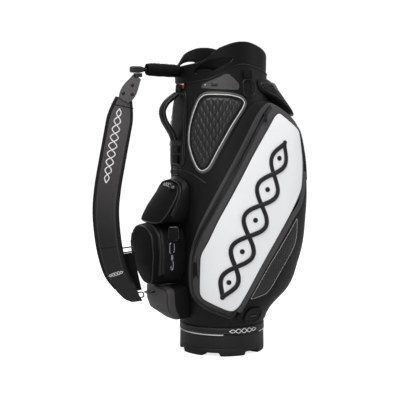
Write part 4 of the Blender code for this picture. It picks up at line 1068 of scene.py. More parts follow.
class GOLFBAG_OT_side_pockets(bpy.types.Operator):
    """Make the side pockets, their zips, white leaf panels, braid ornaments and stitched trims"""
    bl_idname = "golfbag.side_pockets"
    bl_label = "Side pockets"

    def execute(self, context):
        sizes = context.scene.golfbag_sizes
        for side, mirror in (("right", False), ("left", True)):
            sign = -1 if mirror else 1
            base = rounded(SIDE_BASE, mirror=mirror)
            face = rounded(SIDE_FACE, mirror=mirror)
            pocket = patch("pocket_" + side, base, face, BACK, pocket_skin,
                           looks("leather_black", "leather_charcoal"), edge=0.0045, split=0.78,
                           wall=(0.03, 0.08, 0.18, 0.32, 0.46, 0.60, 0.72, 0.78, 0.80, 0.86, 0.93), count=320,
                           fill=16, detail=pocket_puff)
            settle(pocket, stands_for=["side_pocket_" + side])
            leaf = even(rounded(LEAF, mirror=mirror, cut=0.10), 260)
            panel = patch("leaf_" + side, leaf, leaf, raised(pocket_skin, 0.0006), raised(pocket_skin, 0.0032),
                          looks("leather_white", "leather_white"), edge=0.0016, wall=(0.2, 0.6), count=260, fill=16)
            settle(panel, stands_for=["leaf_panel_" + side])
            path, normal = on_skin(even(inset(leaf, -0.0016, pocket_skin), 260), pocket_skin, 0.0012)
            settle(sweep("leaf_welt_" + side, path, normal, oval(0.0034, 0.0026, 8), looks("piping_black"),
                         closed=True))
            ring = even(face, 700)
            chosen = stretch(ring, (sign * 118, .810), (sign * 85, .175), (sign * 25, .311))
            path, normal = on_skin(inset(ring, 0.0062, pocket_skin)[chosen], pocket_skin, 0.0007)
            zipped("side_zip_" + side, path, normal, tape=0.0120)
            for gap, lift, name in ((0.0, -0.0022, "outer_"), (0.0120, 0.0008, "inner_")):
                path, normal = on_skin(inset(ring, gap, pocket_skin)[chosen], pocket_skin, lift)
                settle(sweep("side_welt_" + name + side, path, normal, oval(0.0030, 0.0028, 8),
                             looks("piping_black"), ends=0.0015))
            edge = curve([(sign * b, share * HEIGHT) for b, share in
                          ((150.0, .585), (146.5, .537), (130.5, .438), (106.0, .289),
                           (88.5, .183), (83.0, .150))], 160)
            path, normal = on_skin(edge, pocket_skin, -0.0006)
            settle(sweep("side_band_" + side, path, normal, oval(0.0170, 0.0040, 24, 5.0), looks("leather_charcoal"),
                         ends=0.002))
            trim = even(rounded(TRIM, mirror=mirror, cut=0.06), 160)
            plate = patch("trim_" + side, trim, trim, raised(pocket_skin, 0.0006), raised(pocket_skin, 0.0024),
                          looks("leather_quilted", "leather_quilted"), edge=0.0010, wall=(0.2, 0.6), count=200,
                          fill=22, detail=weave_relief)
            settle(plate, stands_for=["trim_panel_" + side])
            path, normal = on_skin(even(inset(trim, 0.0022, pocket_skin), 300), pocket_skin, 0.0027)
            settle(stitched("trim_stitches_" + side, path, normal, "thread_white", gap=1.25, width=0.0012,
                            closed=True))
            share = np.linspace(0.0, 1.0, 220)
            line = leaf_line(share, 0.010 - 0.020 * share, mirror)
            path, normal = on_skin(line, pocket_skin, 0.0040)
            across = np.cross(np.gradient(path, axis=0), normal)
            across = across / np.linalg.norm(across, axis=1)[:, None]
            braid("leaf_braid_" + side, path, normal, across, 0.034, 5, sizes.stroke, 0.0026, "embroidery_black")
        return {"FINISHED"}


def weave_relief(bearing, z, depth):
    """Embossed basket pattern of the lower trims: two sines multiplied, 14 and 10 mm long, 1.1 mm either way."""
    along = bearing * 0.0036 * 0.5 + z * 0.87
    across = bearing * 0.0036 * 0.87 - z * 0.5
    return 0.0011 * np.sin(along * 2 * np.pi / 0.014) * np.sin(across * 2 * np.pi / 0.010)


def quilt_relief(bearing, z, depth):
    """Quilting: |sin| of two slanting directions, multiplied and rooted, swells each diamond between its seams."""
    sizes = bpy.context.scene.golfbag_sizes
    flat = np.abs(bearing) * 0.0023
    lean = 0.57
    first = np.abs(np.sin(np.pi * (flat + z * lean) / sizes.quilt_width))
    second = np.abs(np.sin(np.pi * (flat - z * lean) / sizes.quilt_width))
    swell = np.sqrt(first * second)
    return sizes.quilt_rise * (swell * np.clip(depth * 16, 0, 1) - 0.08)


class GOLFBAG_OT_quilted_panels(bpy.types.Operator):
    """Make the quilted panels on the body with their white cords and grey welts"""
    bl_idname = "golfbag.quilted_panels"
    bl_label = "Quilted panels"

    def execute(self, context):
        sizes = context.scene.golfbag_sizes
        for side, mirror in (("right", False), ("left", True)):
            line = even(rounded(QUILT, mirror=mirror, cut=0.18), 300)
            field = inset(line, 0.0085, body_skin)
            panel = patch("quilt_" + side, field, field, raised(body_skin, 0.0002), raised(body_skin, 0.0022),
                          looks("leather_quilted", "leather_quilted"), edge=0.0020, wall=(0.2, 0.6), count=480,
                          fill=90, detail=quilt_relief)
            settle(panel, stands_for=["quilted_panel_" + side])
            # The border between the white cord and the quilting is black leather. Its darkness is painted shade along
            # the quilting's sunken edge.
            border = patch("quilt_border_" + side, line, line, raised(body_skin, 0.0001), raised(body_skin, 0.0014),
                           looks("leather_black", "leather_black"), edge=0.0008, wall=(0.3,), count=300, fill=14)
            settle(border)
            settle(cord("quilt_piping_" + side, line, body_skin, sizes.piping, "piping_vinyl", gap=0.0014))
            outer = even(inset(line, -0.0040, body_skin), 300)
            path, normal = on_skin(outer, body_skin, 0.0006)
            settle(sweep("quilt_welt_" + side, path, normal, oval(0.0070, 0.0030, 10, 2.5), looks("piping_grey"),
                         closed=True))
        return {"FINISHED"}


class GOLFBAG_OT_front_pockets(bpy.types.Operator):
    """Make the ball pocket and the accessory pocket above it, with their zips"""
    bl_idname = "golfbag.front_pockets"
    bl_label = "Front pockets"

    def execute(self, context):
        for name, base, face in (("ball_pocket", BALL_BASE, BALL_FACE),
                                 ("accessory_pocket", ACCESSORY_BASE, ACCESSORY_FACE)):
            base_line = rounded(base, both=True)
            face_line = rounded(face, both=True)
            piece = patch(name + "_cover", base_line, face_line, BACK, pocket_skin,
                          looks("leather_black", "leather_black"), edge=0.0055, split=0.80,
                          wall=(0.03, 0.08, 0.18, 0.32, 0.46, 0.60, 0.72, 0.80, 0.82, 0.90), count=400, fill=18,
                          detail=pocket_puff)
            settle(piece, stands_for=[name])
            line = even(face_line, 400)
            path, normal = on_skin(line, pocket_skin, -0.0026)
            settle(sweep(name + "_welt", path, normal, oval(0.0036, 0.0032, 8), looks("piping_black"), closed=True))
        run = [(157, .560), (160.5, .656), (164, .706), (172, .716), (180, .718)]
        line = curve([(b, s * HEIGHT) for b, s in run] + [(360 - b, s * HEIGHT) for b, s in run[-2::-1]], 240)
        path, normal = on_skin(line, pocket_skin, -0.0002)
        zipped("ball_zip", path, normal)
        run = [(127, .862), (140, .8655), (160, .8650), (180, .8648)]
        line = curve([(b, s * HEIGHT) for b, s in run] + [(360 - b, s * HEIGHT) for b, s in run[-2::-1]], 200)
        path, normal = on_skin(line, pocket_skin, -0.0002)
        zipped("accessory_zip", path, normal)
        return {"FINISHED"}


class GOLFBAG_OT_spine(bpy.types.Operator):
    """Make the spine's panel, the pocket at its foot and the two padded pouches above, with their zips"""
    bl_idname = "golfbag.spine"
    bl_label = "Spine and pouches"

    def execute(self, context):
        panel_line = even(rounded(SPINE_PANEL, both=True), 200)
        panel = patch("spine_cover", panel_line, panel_line, raised(body_skin, 0.0004), raised(body_skin, 0.0030),
                      looks("leather_black", "leather_black"), edge=0.0016, wall=(0.2, 0.6), count=200, fill=10)
        settle(panel, stands_for=["spine_panel"])
        settle(cord("spine_piping", panel_line, body_skin, 0.0015, "piping_black", gap=0.0006))
        path, normal = on_skin(even(inset(panel_line, 0.006, body_skin), 240), body_skin, 0.0031)
        settle(stitched("spine_stitches", path, normal, "thread_grey", closed=True))
        parts = (("spine_pocket", SPINE_POCKET, SPINE_POCKET, SPINE_REACH, "leather_charcoal", 0.010, None, 0.006),
                 ("lower_pouch", LOWER_POUCH, LOWER_POUCH, LOWER_REACH, "nylon_pouch", 0.012, 0.74, 0.001),
                 ("upper_pouch", UPPER_BASE, UPPER_FACE, UPPER_REACH, "nylon_pouch", 0.005, 0.70, 0.006))
        for name, base, face, reach, look, edge, zip_at, puff in parts:
            skin = across_skin(reach)
            base_line = rounded(base, both=True)
            face_line = rounded(face, both=True)
            piece = patch(name + "_cover", base_line, face_line, BACK, skin, looks("leather_black", look), edge=edge,
                          split=0.60, count=240, fill=22,
                          wall=(0.03, 0.08, 0.16, 0.26, 0.36, 0.48, 0.60, 0.62, 0.70, 0.78, 0.86, 0.93),
                          detail=lambda b, z, d, puff=puff: puff * np.sin(np.clip(d * 1.2, 0, 1) * np.pi / 2))
            settle(piece, stands_for=[name])
            line = even(inset(even(face_line, 240), edge * 0.35, skin), 240)
            path, normal = on_skin(line, skin, -edge * 0.25)
            settle(sweep(name + "_welt", path, normal, oval(0.0034, 0.0034, 8), looks("piping_black"), closed=True))
            if zip_at:
                share = zip_at
                first = even(base_line, 240, face_line)
                second = even(face_line, 240)
                line = first + (second - first) * share
                low = BACK(line[:, 0], line[:, 1])
                depth = skin(line[:, 0], line[:, 1]) - low
                path = place(line[:, 0], low + depth * share ** 0.82 - edge * share ** 3, line[:, 1])
                along = np.roll(path, -1, 0) - np.roll(path, 1, 0)
                normal = np.cross(along, place(line[:, 0], 1.0, 0.0 * line[:, 0]))
                normal = normal / np.linalg.norm(normal, axis=1)[:, None]
                outward = path - path.mean(0)
                normal = normal * np.sign((normal * outward).sum(1))[:, None]
                keep = line[:, 1] > line[:, 1].min() + 0.20 * np.ptp(line[:, 1])
                order = np.argsort(np.where(keep, np.arctan2(line[:, 0] * 0.0035,
                                                             line[:, 1] - line[:, 1].mean()), 9.0))
                chosen = order[:keep.sum()]
                zipped(name + "_zip", path[chosen] + normal[chosen] * 0.0008, normal[chosen])
        skin = across_skin(UPPER_REACH)
        line = curve([(-8.0, .5460 * HEIGHT), (2.0, .5465 * HEIGHT), (17.0, .5395 * HEIGHT)], 120)
        path, normal = on_skin(line, skin, 0.0045)
        across = np.cross(np.gradient(path, axis=0), normal)
        across = across / np.linalg.norm(across, axis=1)[:, None]
        braid("pouch_braid", path, normal, across, 0.0050, 6, 0.0009, 0.0006, "embroidery_silver", dots=False)
        return {"FINISHED"}


# ---------------------------------------------------------------- handle, rings, hook and tag

def frame_at(bearing, share, skin, out=0.0):
    """A point on a surface with its outward, level and upward directions."""
    z = share * HEIGHT
    here = place(bearing, skin(bearing, z), z)
    side = unit(place(bearing + 0.5, skin(bearing + 0.5, z), z) - place(bearing - 0.5, skin(bearing - 0.5, z), z))
    rise = place(bearing, skin(bearing, z + 0.004), z + 0.004) - place(bearing, skin(bearing, z - 0.004), z - 0.004)
    rise = unit(rise - side * (rise @ side))
    normal = np.cross(side, rise)
    if normal @ place(bearing, 1.0, 0.0) < 0:
        normal = -normal
    return here + normal * out, normal, side, rise


class GOLFBAG_OT_handle(bpy.types.Operator):
    """Make the carry handle with its piped edges, its sewn tabs and the square ring below"""
    bl_idname = "golfbag.handle"
    bl_label = "Carry handle"

    def execute(self, context):
        path = curve([(x, 0.0, z) for x, z in HANDLE_LINE], 90)
        along = np.gradient(path, axis=0)
        out = np.cross(along, (0.0, 1.0, 0.0))
        out = out / np.linalg.norm(out, axis=1)[:, None]
        if out[45, 0] > 0:
            out = -out
        grip = sweep("grip", path, out, oval(0.0270, 0.0150, 24, 2.8), looks("leather_black"), ends=0.002)
        parts = [grip]
        for sign in (1, -1):
            edge = path + np.array((0, sign * 0.0130, 0)) + out * 0.0010
            parts.append(sweep("edge", edge, out, oval(0.0036, 0.0060, 10), looks("piping_black"), ends=0.001))
            row = path[8:-8] + np.array((0, sign * 0.0085, 0)) + out[8:-8] * 0.0069
            parts.append(stitched("row", row, out[8:-8], "thread_grey"))
        settle(joined("handle", parts), stands_for=["grab_handle"])
        for name, share in (("handle_tab_upper", .852), ("handle_tab_lower", .668)):
            centre, normal, side, rise = frame_at(0.0, share, body_skin, 0.0058)
            centre = centre - rise * 0.006 if share < .7 else centre + rise * 0.003
            tab = block(name + "_cover", centre, (side, normal, rise), (0.034, 0.0034, 0.020),
                        looks("webbing_polyester"), corner=0.12)
            cross = [tab]
            for sign in (1, -1):
                ends = [centre + side * 0.013 * k + rise * 0.007 * k * sign + normal * 0.0018 for k in (-1, 1)]
                row = np.linspace(ends[0], ends[1], 12)
                cross.append(stitched("cross", row, normal, "thread_grey", length=0.0028))
            settle(joined(name + "_sewn", cross), stands_for=[name])
        centre, normal, side, rise = frame_at(0.0, .609, body_skin, 0.0072)
        settle(wire_loop("square_ring", centre - rise * 0.010, side, rise, 0.040, 0.030, 0.005,
                         looks("black_nickel"), radius=0.0017), stands_for=["spine_ring"])
        settle(block("square_ring_tab", centre + rise * 0.018, (side, normal, rise), (0.030, 0.0030, 0.022),
                     looks("webbing_polyester"), corner=0.12), stands_for=["spine_ring_tab"])
        centre, normal, side, rise = frame_at(5.0, .8630, body_skin, 0.0024)
        red = block("red", centre, (side, normal, rise), (0.030, 0.0014, 0.014), looks("vinyl_tag"), corner=0.08)
        bar = block("bar", centre + normal * 0.0005 + rise * 0.0038, (side, normal, rise), (0.026, 0.0014, 0.0036),
                    looks("thread_white"), corner=0.3)
        settle(joined("tag", [red, bar]), stands_for=["spine_tag"])
        return {"FINISHED"}


class GOLFBAG_OT_rings(bpy.types.Operator):
    """Make the towel ring, the snap hook with its ring and tab, and the grommet patch near the foot"""
    bl_idname = "golfbag.rings"
    bl_label = "Rings and hook"

    def execute(self, context):
        centre, normal, side, rise = frame_at(96.0, .880, body_skin, 0.0062)
        width, height = 0.036, 0.044
        ring = wire_loop("towel_loop", centre - rise * height / 2, side, rise, width, height, 0.35 * width,
                         looks("black_nickel"), radius=0.0021)
        settle(ring, "towel_ring", ["towel_ring"])
        middle = centre + rise * (0.0019 + 0.0008 + 0.011)
        settle(block("towel_tab", middle, (side, normal, rise), (0.72 * width, 0.0030, 0.021),
                     looks("webbing_polyester"), corner=0.12), stands_for=["towel_ring_tab"])
        base = np.array((-0.186, -0.0835, 0.318))
        tab = block("clip_strap", base + np.array((0.006, 0.003, 0.018)),
                    ((0.90, -0.44, 0.0), (0.44, 0.90, 0.0), (0, 0, 1)), (0.026, 0.0030, 0.034),
                    looks("webbing_polyester"), corner=0.12)
        settle(tab, stands_for=["clip_tab"])
        edge = wire_loop("clip_strap_edge", base + np.array((0.006, 0.003, 0.018)), (0.90, -0.44, 0.0), (0, 0, 1),
                         0.0256, 0.0336, 0.0040, looks("nickel_plate"), radius=0.0008)
        settle(edge)
        across = unit((0.80, 0.60, 0.0))
        up = np.array((0.0, 0.0, 1.0))
        top = base + np.array((0.0, 0.0, -0.0045))
        settle(wire_loop("clip_loop", top - up * 0.015, across, up, 0.024, 0.030, 0.010, looks("nickel_plate"),
                         radius=0.0018), "clip_ring", ["clip_ring"])
        low = top - up * 0.0330
        out = np.cross(up, across)
        barrel = sweep("barrel", [low - up * 0.0005, low - up * 0.004, low - up * 0.012, low - up * 0.0145], out,
                       [oval(d, d, 16) for d in (0.006, 0.0085, 0.0085, 0.0062)], looks("nickel_plate"), ends=0.0008)
        points = [(0.0, -0.0145), (0.0050, -0.019), (0.0058, -0.027), (0.0040, -0.036), (0.0, -0.0405),
                  (-0.0045, -0.037), (-0.0056, -0.031)]
        hook = curve([low + across * a + up * b for a, b in points], 50)
        bow = sweep("bow", hook, out, oval(0.0034, 0.0042, 12), looks("nickel_plate"), ends=0.0015)
        gate = curve([low + across * a + up * b for a, b in [(-0.0028, -0.0145), (-0.0050, -0.022), (-0.0056, -0.030)]],
                     20)
        lever = sweep("gate", gate, out, oval(0.0026, 0.0036, 10), looks("black_nickel"), ends=0.001)
        knob = sweep("knob", [low - across * 0.0052 - up * 0.020, low - across * 0.0072 - up * 0.020], out,
                     oval(0.0034, 0.0034, 12), looks("black_nickel"), ends=0.0012)
        settle(joined("snap_hook", [barrel, bow, lever, knob]), "clip_hook", ["clip_hook"])
        centre, normal, across, rise = frame_at(103.0, .1330, pocket_skin, 0.0031)
        rings = []
        for grow, out in ((1.0, -0.5), (1.0, 0.2), (0.97, 0.45), (0.90, 0.5), (0.88, 0.28), (0.80, 0.22), (0.40, 0.22),
                          (0.30, 0.10), (0.22, -0.3)):
            line = loop_path(centre, across, rise, 0.056 * grow, 0.050 * grow, 0.022 * grow)
            rings.append(line + normal * 0.0024 * out)
        plate = loft("vent", rings, looks("leather_black"), centre - normal * 0.0012, centre - normal * 0.0009)
        slit = block("slit", centre + normal * 0.0006, (across, normal, unit(rise + across * 0.6)),
                     (0.019, 0.0016, 0.0065), looks("zip_teeth"), corner=0.45)
        line = loop_path(centre + normal * 0.0010, across, rise, 0.050, 0.044, 0.019)
        rim = sweep("rim", line, normal, oval(0.0050, 0.0030, 10), looks("leather_black"), closed=True)
        settle(joined("vent_patch", [plate, slit, rim]), stands_for=["drain_patch_right"])
        return {"FINISHED"}


# ---------------------------------------------------------------- shoulder strap

class GOLFBAG_OT_strap(bpy.types.Operator):
    """Make the padded strap with its bindings, yoke, swivel and sleeve, and the adjuster at its foot"""
    bl_idname = "golfbag.strap"
    bl_label = "Shoulder strap"

    def execute(self, context):
        sizes = context.scene.golfbag_sizes
        turn = np.radians(STRAP_TWIST)
        data = np.hstack([[(x, 0.0, z) for x, z in STRAP_LINE],
                          np.stack([np.cos(turn), -np.sin(turn), 0 * turn], 1)])
        data = curve(data, 150)
        path, across = data[:, :3], data[:, 3:]
        along = np.gradient(path, axis=0)
        along = along / np.linalg.norm(along, axis=1)[:, None]
        across = across - along * (across * along).sum(1)[:, None]
        across = across / np.linalg.norm(across, axis=1)[:, None]
        out = np.cross(along, across)
        if out[75, 1] > 0:
            out = -out
        width, thick = sizes.strap_width, sizes.strap_thick
        share = np.linspace(0, 1, len(path))
        taper = 1 - 0.09 * np.clip((share - 0.86) / 0.14, 0, 1) ** 2
        taper = taper - 0.42 * np.clip((0.10 - share) / 0.10, 0, 1) ** 1.5
        shapes = [oval((width - 0.004) * t, thick, 44, 3.4) for t in taper]
        pad = sweep("strap_core", path, out, shapes, looks("leather_strap"), ends=0.004)
        settle(pad, "strap", ["strap_pad"])
        parts = []
        for sign in (1, -1):
            edge = path + across * (sign * (width / 2 - 0.0045) * taper)[:, None]
            shapes = [oval(0.0095, thick * 1.02, 14, 2.6)] * len(path)
            parts.append(sweep("binding", edge, out, shapes, looks("leather_black"), ends=0.002))
            row = path + across * (sign * (width / 2 - 0.0120) * taper)[:, None] + out * (thick / 2 - 0.0002)
            parts.append(stitched("row", row[6:-6], out[6:-6], "thread_grey"))
        settle(joined("strap_binding", parts), "strap")
        inner = path[8:-8] - out[8:-8] * (thick / 2 + 0.0006)
        mesh = sweep("strap_lining", inner, -out[8:-8], oval(width - 0.022, 0.0034, 20, 4.0), looks("spacer_mesh"),
                     ends=0.003)
        settle(mesh, "strap")
        for name, spot in (("upper", 0.035), ("lower", 0.74)):
            k = int(spot * (len(path) - 1))
            row = np.linspace(-1, 1, 40)[:, None] * across[k] * (width / 2 - 0.006) + path[k]
            crown = np.clip(1 - np.abs(np.linspace(-0.9, 0.9, 40)) ** 3.4, 0, 1)
            bulge = out[k] * (thick / 2 * np.sqrt(crown))[:, None]
            settle(sweep("strap_seam_" + name, row + bulge, out[k], oval(0.0026, 0.0016, 8), looks("leather_black"),
                         ends=0.001), "strap")
        low, high = int(0.05 * 150), int(0.38 * 150)
        line = path[low:high] + out[low:high] * (thick / 2 + 0.0002)
        line = curve(line - across[low:high] * 0.006, 200)
        lean = curve(np.hstack([across[low:high], out[low:high]]), 200)
        braid("strap_braid", line, lean[:, 3:], lean[:, :3], 0.0105, 9, 0.0014, 0.0008, "embroidery_white", "strap",
              dots=False)
        low, high = int(0.84 * 150), int(0.94 * 150)
        line = path[low:high] + out[low:high] * (thick / 2 + 0.0002)
        spread = curve(np.hstack([line, across[low:high], out[low:high]]), 90)
        middle = spread[45]
        row = middle[:3] + np.linspace(-0.021, 0.021, 90)[:, None] * middle[3:6]
        flank = np.cross(middle[6:], middle[3:6])
        braid("strap_foot_braid", row, np.tile(middle[6:], (90, 1)), np.tile(flank, (90, 1)),
              0.0048, 5, 0.0008, 0.0005, "embroidery_white", "strap", dots=False)
        self.top(path, across, out)
        self.foot(path, across)
        return {"FINISHED"}

    def top(self, path, across, out):
        """The yoke, its screws, the neck, the swivel and the sleeve."""
        high = 0.765
        heading = unit(path[0] - path[3])
        normal = out[0] if out[0][1] < 0 else -out[0]
        start = path[0] - heading * 0.004 + normal * (0.0055 + 0.0030)
        end = np.array((STRAP_AXIS - 0.003, 0.0, high - 0.0205)) + normal * 0.001
        run = unit(end - start)
        side = unit(across[0] - run * (across[0] @ run))
        face = unit(np.cross(run, side))
        face = face if face @ normal > 0 else -face
        widths = curve([(0.0, 0.030), (0.12, 0.037), (0.35, 0.042), (0.60, 0.038), (0.80, 0.031), (1.0, 0.025)], 40)
        line = start + (end - start) * widths[:, :1]
        plate = sweep("plate", line, face, [oval(w, 0.0044, 24, 4.0) for w in widths[:, 1]], looks("nylon_yoke"),
                      ends=0.002)
        rim = []
        for sign in (1, -1):
            edge = line + side * (sign * (widths[:, 1:] / 2 - 0.0022)) + face * 0.0022
            rim.append(sweep("rim", edge, face, oval(0.0026, 0.0018, 8), looks("nylon_yoke"), ends=0.001))
        settle(joined("yoke", [plate, *rim]), "strap", ["strap_yoke"])
        for number, (share, off) in enumerate([(0.64, 0.0), (0.34, 0.011), (0.20, -0.010)], 1):
            seat = start + (end - start) * share + side * off + face * (0.0021 + 0.0004)
            turn = np.arange(24) * np.pi / 12
            ring = np.cos(turn)[:, None] * side + np.sin(turn)[:, None] * np.cross(face, side)
            profile = [(1.25, 0.0), (1.25, 0.0006), (1.10, 0.0012), (0.70, 0.0018), (0.52, 0.0019), (0.46, 0.0016),
                       (0.42, 0.0006)]
            rings = [seat + ring * 0.0036 * r + face * h for r, h in profile]
            screw = loft("yoke_bolt_%d" % number, rings, looks("black_nickel"), seat, seat + face * 0.0006)
            settle(screw, "strap", ["yoke_screw_%d" % number])
        neck = sweep("neck", [(STRAP_AXIS, 0, high - 0.0195), (STRAP_AXIS, 0, high - 0.014),
                              (STRAP_AXIS, 0, high - 0.0100)], (0, 1.0, 0), oval(0.023, 0.016, 24, 3.0),
                     looks("nylon_swivel"), ends=0.0006)
        settle(neck, "strap", ["strap_neck"])
        line = [(-0.2665, 0, high), (-0.262, 0, high), (-0.252, 0, high), (-0.242, 0, high), (-0.2345, 0, high),
                (-0.2295, 0, high)]
        shapes = [oval(w, t, 24, 3.6) for w, t in ((0.0175, 0.0155), (0.0195, 0.0175), (0.0195, 0.0175),
                                                    (0.0195, 0.0175), (0.0160, 0.0140), (0.0130, 0.0105))]
        arm = sweep("arm", [(-0.2295, 0, high), (-0.224, 0, high + 0.0006)], (0, 0, 1.0), oval(0.0120, 0.0095, 20),
                    looks("nylon_swivel"), ends=0.0006)
        head = sweep("head", line, (0, 0, 1.0), shapes, looks("nylon_swivel"), ends=0.0015)
        settle(joined("swivel", [head, arm]), stands_for=["strap_swivel"])
        axis = np.linspace(0, 1, 60)
        far = -float(cuff_skin(0.0, 0.9)) - 0.0012
        start = np.array((STRAP_AXIS + 0.0245, 0.0, high + 0.001))
        end = np.array((far + 0.0005, 0.0, high - 0.002))
        turn = np.arange(36) * np.pi / 18
        rings = []
        for share in (0.16, 0.10, 0.03):
            spot = start + (end - start) * share
            rings.append(spot + np.stack([0 * turn, np.cos(turn) * 0.0118, np.sin(turn) * 0.0118], 1))
        for share in axis:
            spot = start + (end - start) * share
            radius = 0.0172 - 0.0026 * (2 * share - 1) ** 6
            wrinkle = 0.00045 * np.sin(3 * turn + 26 * share) * np.sin(47 * share + 1.3 * np.cos(turn))
            r = radius + wrinkle
            rings.append(spot + np.stack([0 * turn, np.cos(turn) * r, np.sin(turn) * r], 1))
        first = start + (end - start) * 0.16
        sleeve = loft("sleeve", rings, looks("nylon_pouch"), first, end)
        settle(sleeve, stands_for=["strap_sleeve"])
        for number, share in enumerate((0.24, 0.36, 0.62), 1):
            spot = start + (end - start) * share + np.array((0, -0.004, 0.0166))
            settle(rivet("sleeve_snap_%d" % number, spot, (0, -0.2, 1.0), 0.0030))

    def foot(self, path, across_path):
        """The adjuster: a ring on the strap's back, webbing down to the lower ring, the tail and the anchor."""
        top = np.array((-0.281, -0.006, 0.290))
        low = np.array((-0.2535, -0.004, 0.166))
        across = unit((0.80, -0.60, 0.0))
        down = unit(low - top)
        side = unit(across - down * (across @ down))
        settle(wire_loop("adjuster_ring", top, side, down, 0.036, 0.013, 0.004, looks("nylon_swivel")), "strap",
               ["strap_ring_upper"])
        settle(wire_loop("foot_ring", low, side, down, 0.036, 0.014, 0.004, looks("nylon_swivel")), "strap",
               ["strap_ring_lower"])
        bow = unit(np.cross(side, down))
        bow = bow if bow[0] < 0 else -bow
        points = [top + down * 0.010 + (low - top - down * 0.0235) * s + bow * d
                  for s, d in ((0.0, 0.0), (0.33, 0.002), (0.66, 0.002), (1.0, 0.0))]
        band = sweep("band", curve(points, 40), bow, oval(0.032, 0.0026, 20, 4.0), looks("webbing_polyester"),
                     ends=0.001)
        settle(band, "strap", ["strap_webbing"])
        end, leaving, first = path[-1], unit(path[-1] - path[-4]), across_path[-1]
        fall = unit((0.78, 0.0, -0.62))
        rows = [(*(end + leaving * 0.0004), *leaving, *first, 0.0630, 0.0128),
                (-0.2795, -0.001, 0.1790, *unit(leaving + fall * 0.5), *unit(first * 1.5 + side), 0.055, 0.011),
                (-0.2665, -0.003, 0.1605, *fall, *unit(first + side), 0.042, 0.009),
                (-0.2545, -0.004, 0.1500, *fall, *side, 0.031, 0.004)]
        rings = []
        for row in curve(rows, 28):
            through = unit(np.cross(row[3:6], row[6:9]))
            shape = oval(row[9], row[10], 36, 3.2)
            rings.append(row[:3] + shape[:, :1] * row[6:9] + shape[:, 1:] * through)
        where = np.linspace(0, 0.05, 28)[:, None] + 0 * np.linspace(0, 1, 36)
        tail = loft("tail", rings, looks("leather_strap"), rings[0].mean(0), rings[-1].mean(0),
                    uv=np.stack([where, 0 * where], -1))
        settle(tail, "strap", ["strap_tail"])
        anchor = np.array((-0.205 - 0.0125, 0.0, 0.172))
        settle(wire_loop("foot_anchor", anchor, (1, 0, 0.10), (0, 1, 0), 0.020, 0.026, 0.006,
                         looks("nylon_swivel")), stands_for=["strap_anchor"])


# ---------------------------------------------------------------- zip sliders and pulls

class GOLFBAG_OT_zip_pulls(bpy.types.Operator):
    """Make each zip's slider and the two-holed pull that hangs from it"""
    bl_idname = "golfbag.zip_pulls"
    bl_label = "Zip pulls"

    def execute(self, context):
        rows = (("side_zip_right", 110.5, .7745, pocket_skin, (0.58, 1.0), 0.026, "black_nickel"),
                ("side_zip_left", -110.5, .7745, pocket_skin, (-0.58, 1.0), 0.026, "black_nickel"),
                ("accessory_zip", 134.0, .8660, pocket_skin, (1.0, -0.15), 0.022, "nickel_plate"),
                ("ball_zip", 200.0, .700, pocket_skin, (0.0, 1.0), 0.026, "nickel_plate"),
                ("upper_zip", 12.0, .548, across_skin(UPPER_REACH), (1.0, 0.0), 0.020, "black_nickel"),
                ("lower_zip", -8.0, .392, across_skin(LOWER_REACH), (1.0, 0.0), 0.020, "black_nickel"))
        for name, bearing, share, skin, run, length, look in rows:
            centre, normal, side, rise = frame_at(bearing, share, skin, 0.0035)
            along = unit(side * run[0] + rise * run[1])
            across = unit(np.cross(normal, along))
            body = block("cap", centre, (across, normal, along), (0.0078, 0.0034, 0.0100), looks(look), corner=0.3)
            arch = curve([centre - along * 0.0032 + normal * 0.0006, centre - along * 0.0022 + normal * 0.0012,
                          centre + along * 0.0022 + normal * 0.0012, centre + along * 0.0032 + normal * 0.0006], 16)
            bridge = sweep("bridge", arch, normal, oval(0.0026, 0.0010, 8), looks(look), ends=0.0004)
            settle(joined(name + "_runner", [body, bridge]), name + "_slider", [name + "_slider"])
            hinge = centre + normal * 0.0039
            drop = unit(np.array((0, 0, -1.0)) - normal * (normal @ np.array((0, 0, -1.0))))
            flat = unit(np.cross(normal, drop))
            middle = hinge + drop * (length / 2 - 0.001)
            frame_loop = wire_loop("loop", middle, flat, drop, 0.0078, length - 0.0016, 0.0030, looks(look),
                                   radius=0.0010)
            parts = [frame_loop]
            for spot in (0.28, 0.56):
                bar = [hinge + drop * length * spot - flat * 0.0036, hinge + drop * length * spot + flat * 0.0036]
                parts.append(sweep("bar", np.linspace(bar[0], bar[1], 6), normal, oval(0.0026, 0.0016, 10),
                                   looks(look), ends=0.0003))
            foot = hinge + drop * (length * 0.78)
            parts.append(block("grip", foot, (flat, normal, drop), (0.0070, 0.0018, length * 0.36), looks(look),
                               corner=0.35))
            settle(joined(name + "_tab", parts), name + "_pull", [name + "_pull"])
        return {"FINISHED"}


# ---------------------------------------------------------------- floor, lights and camera

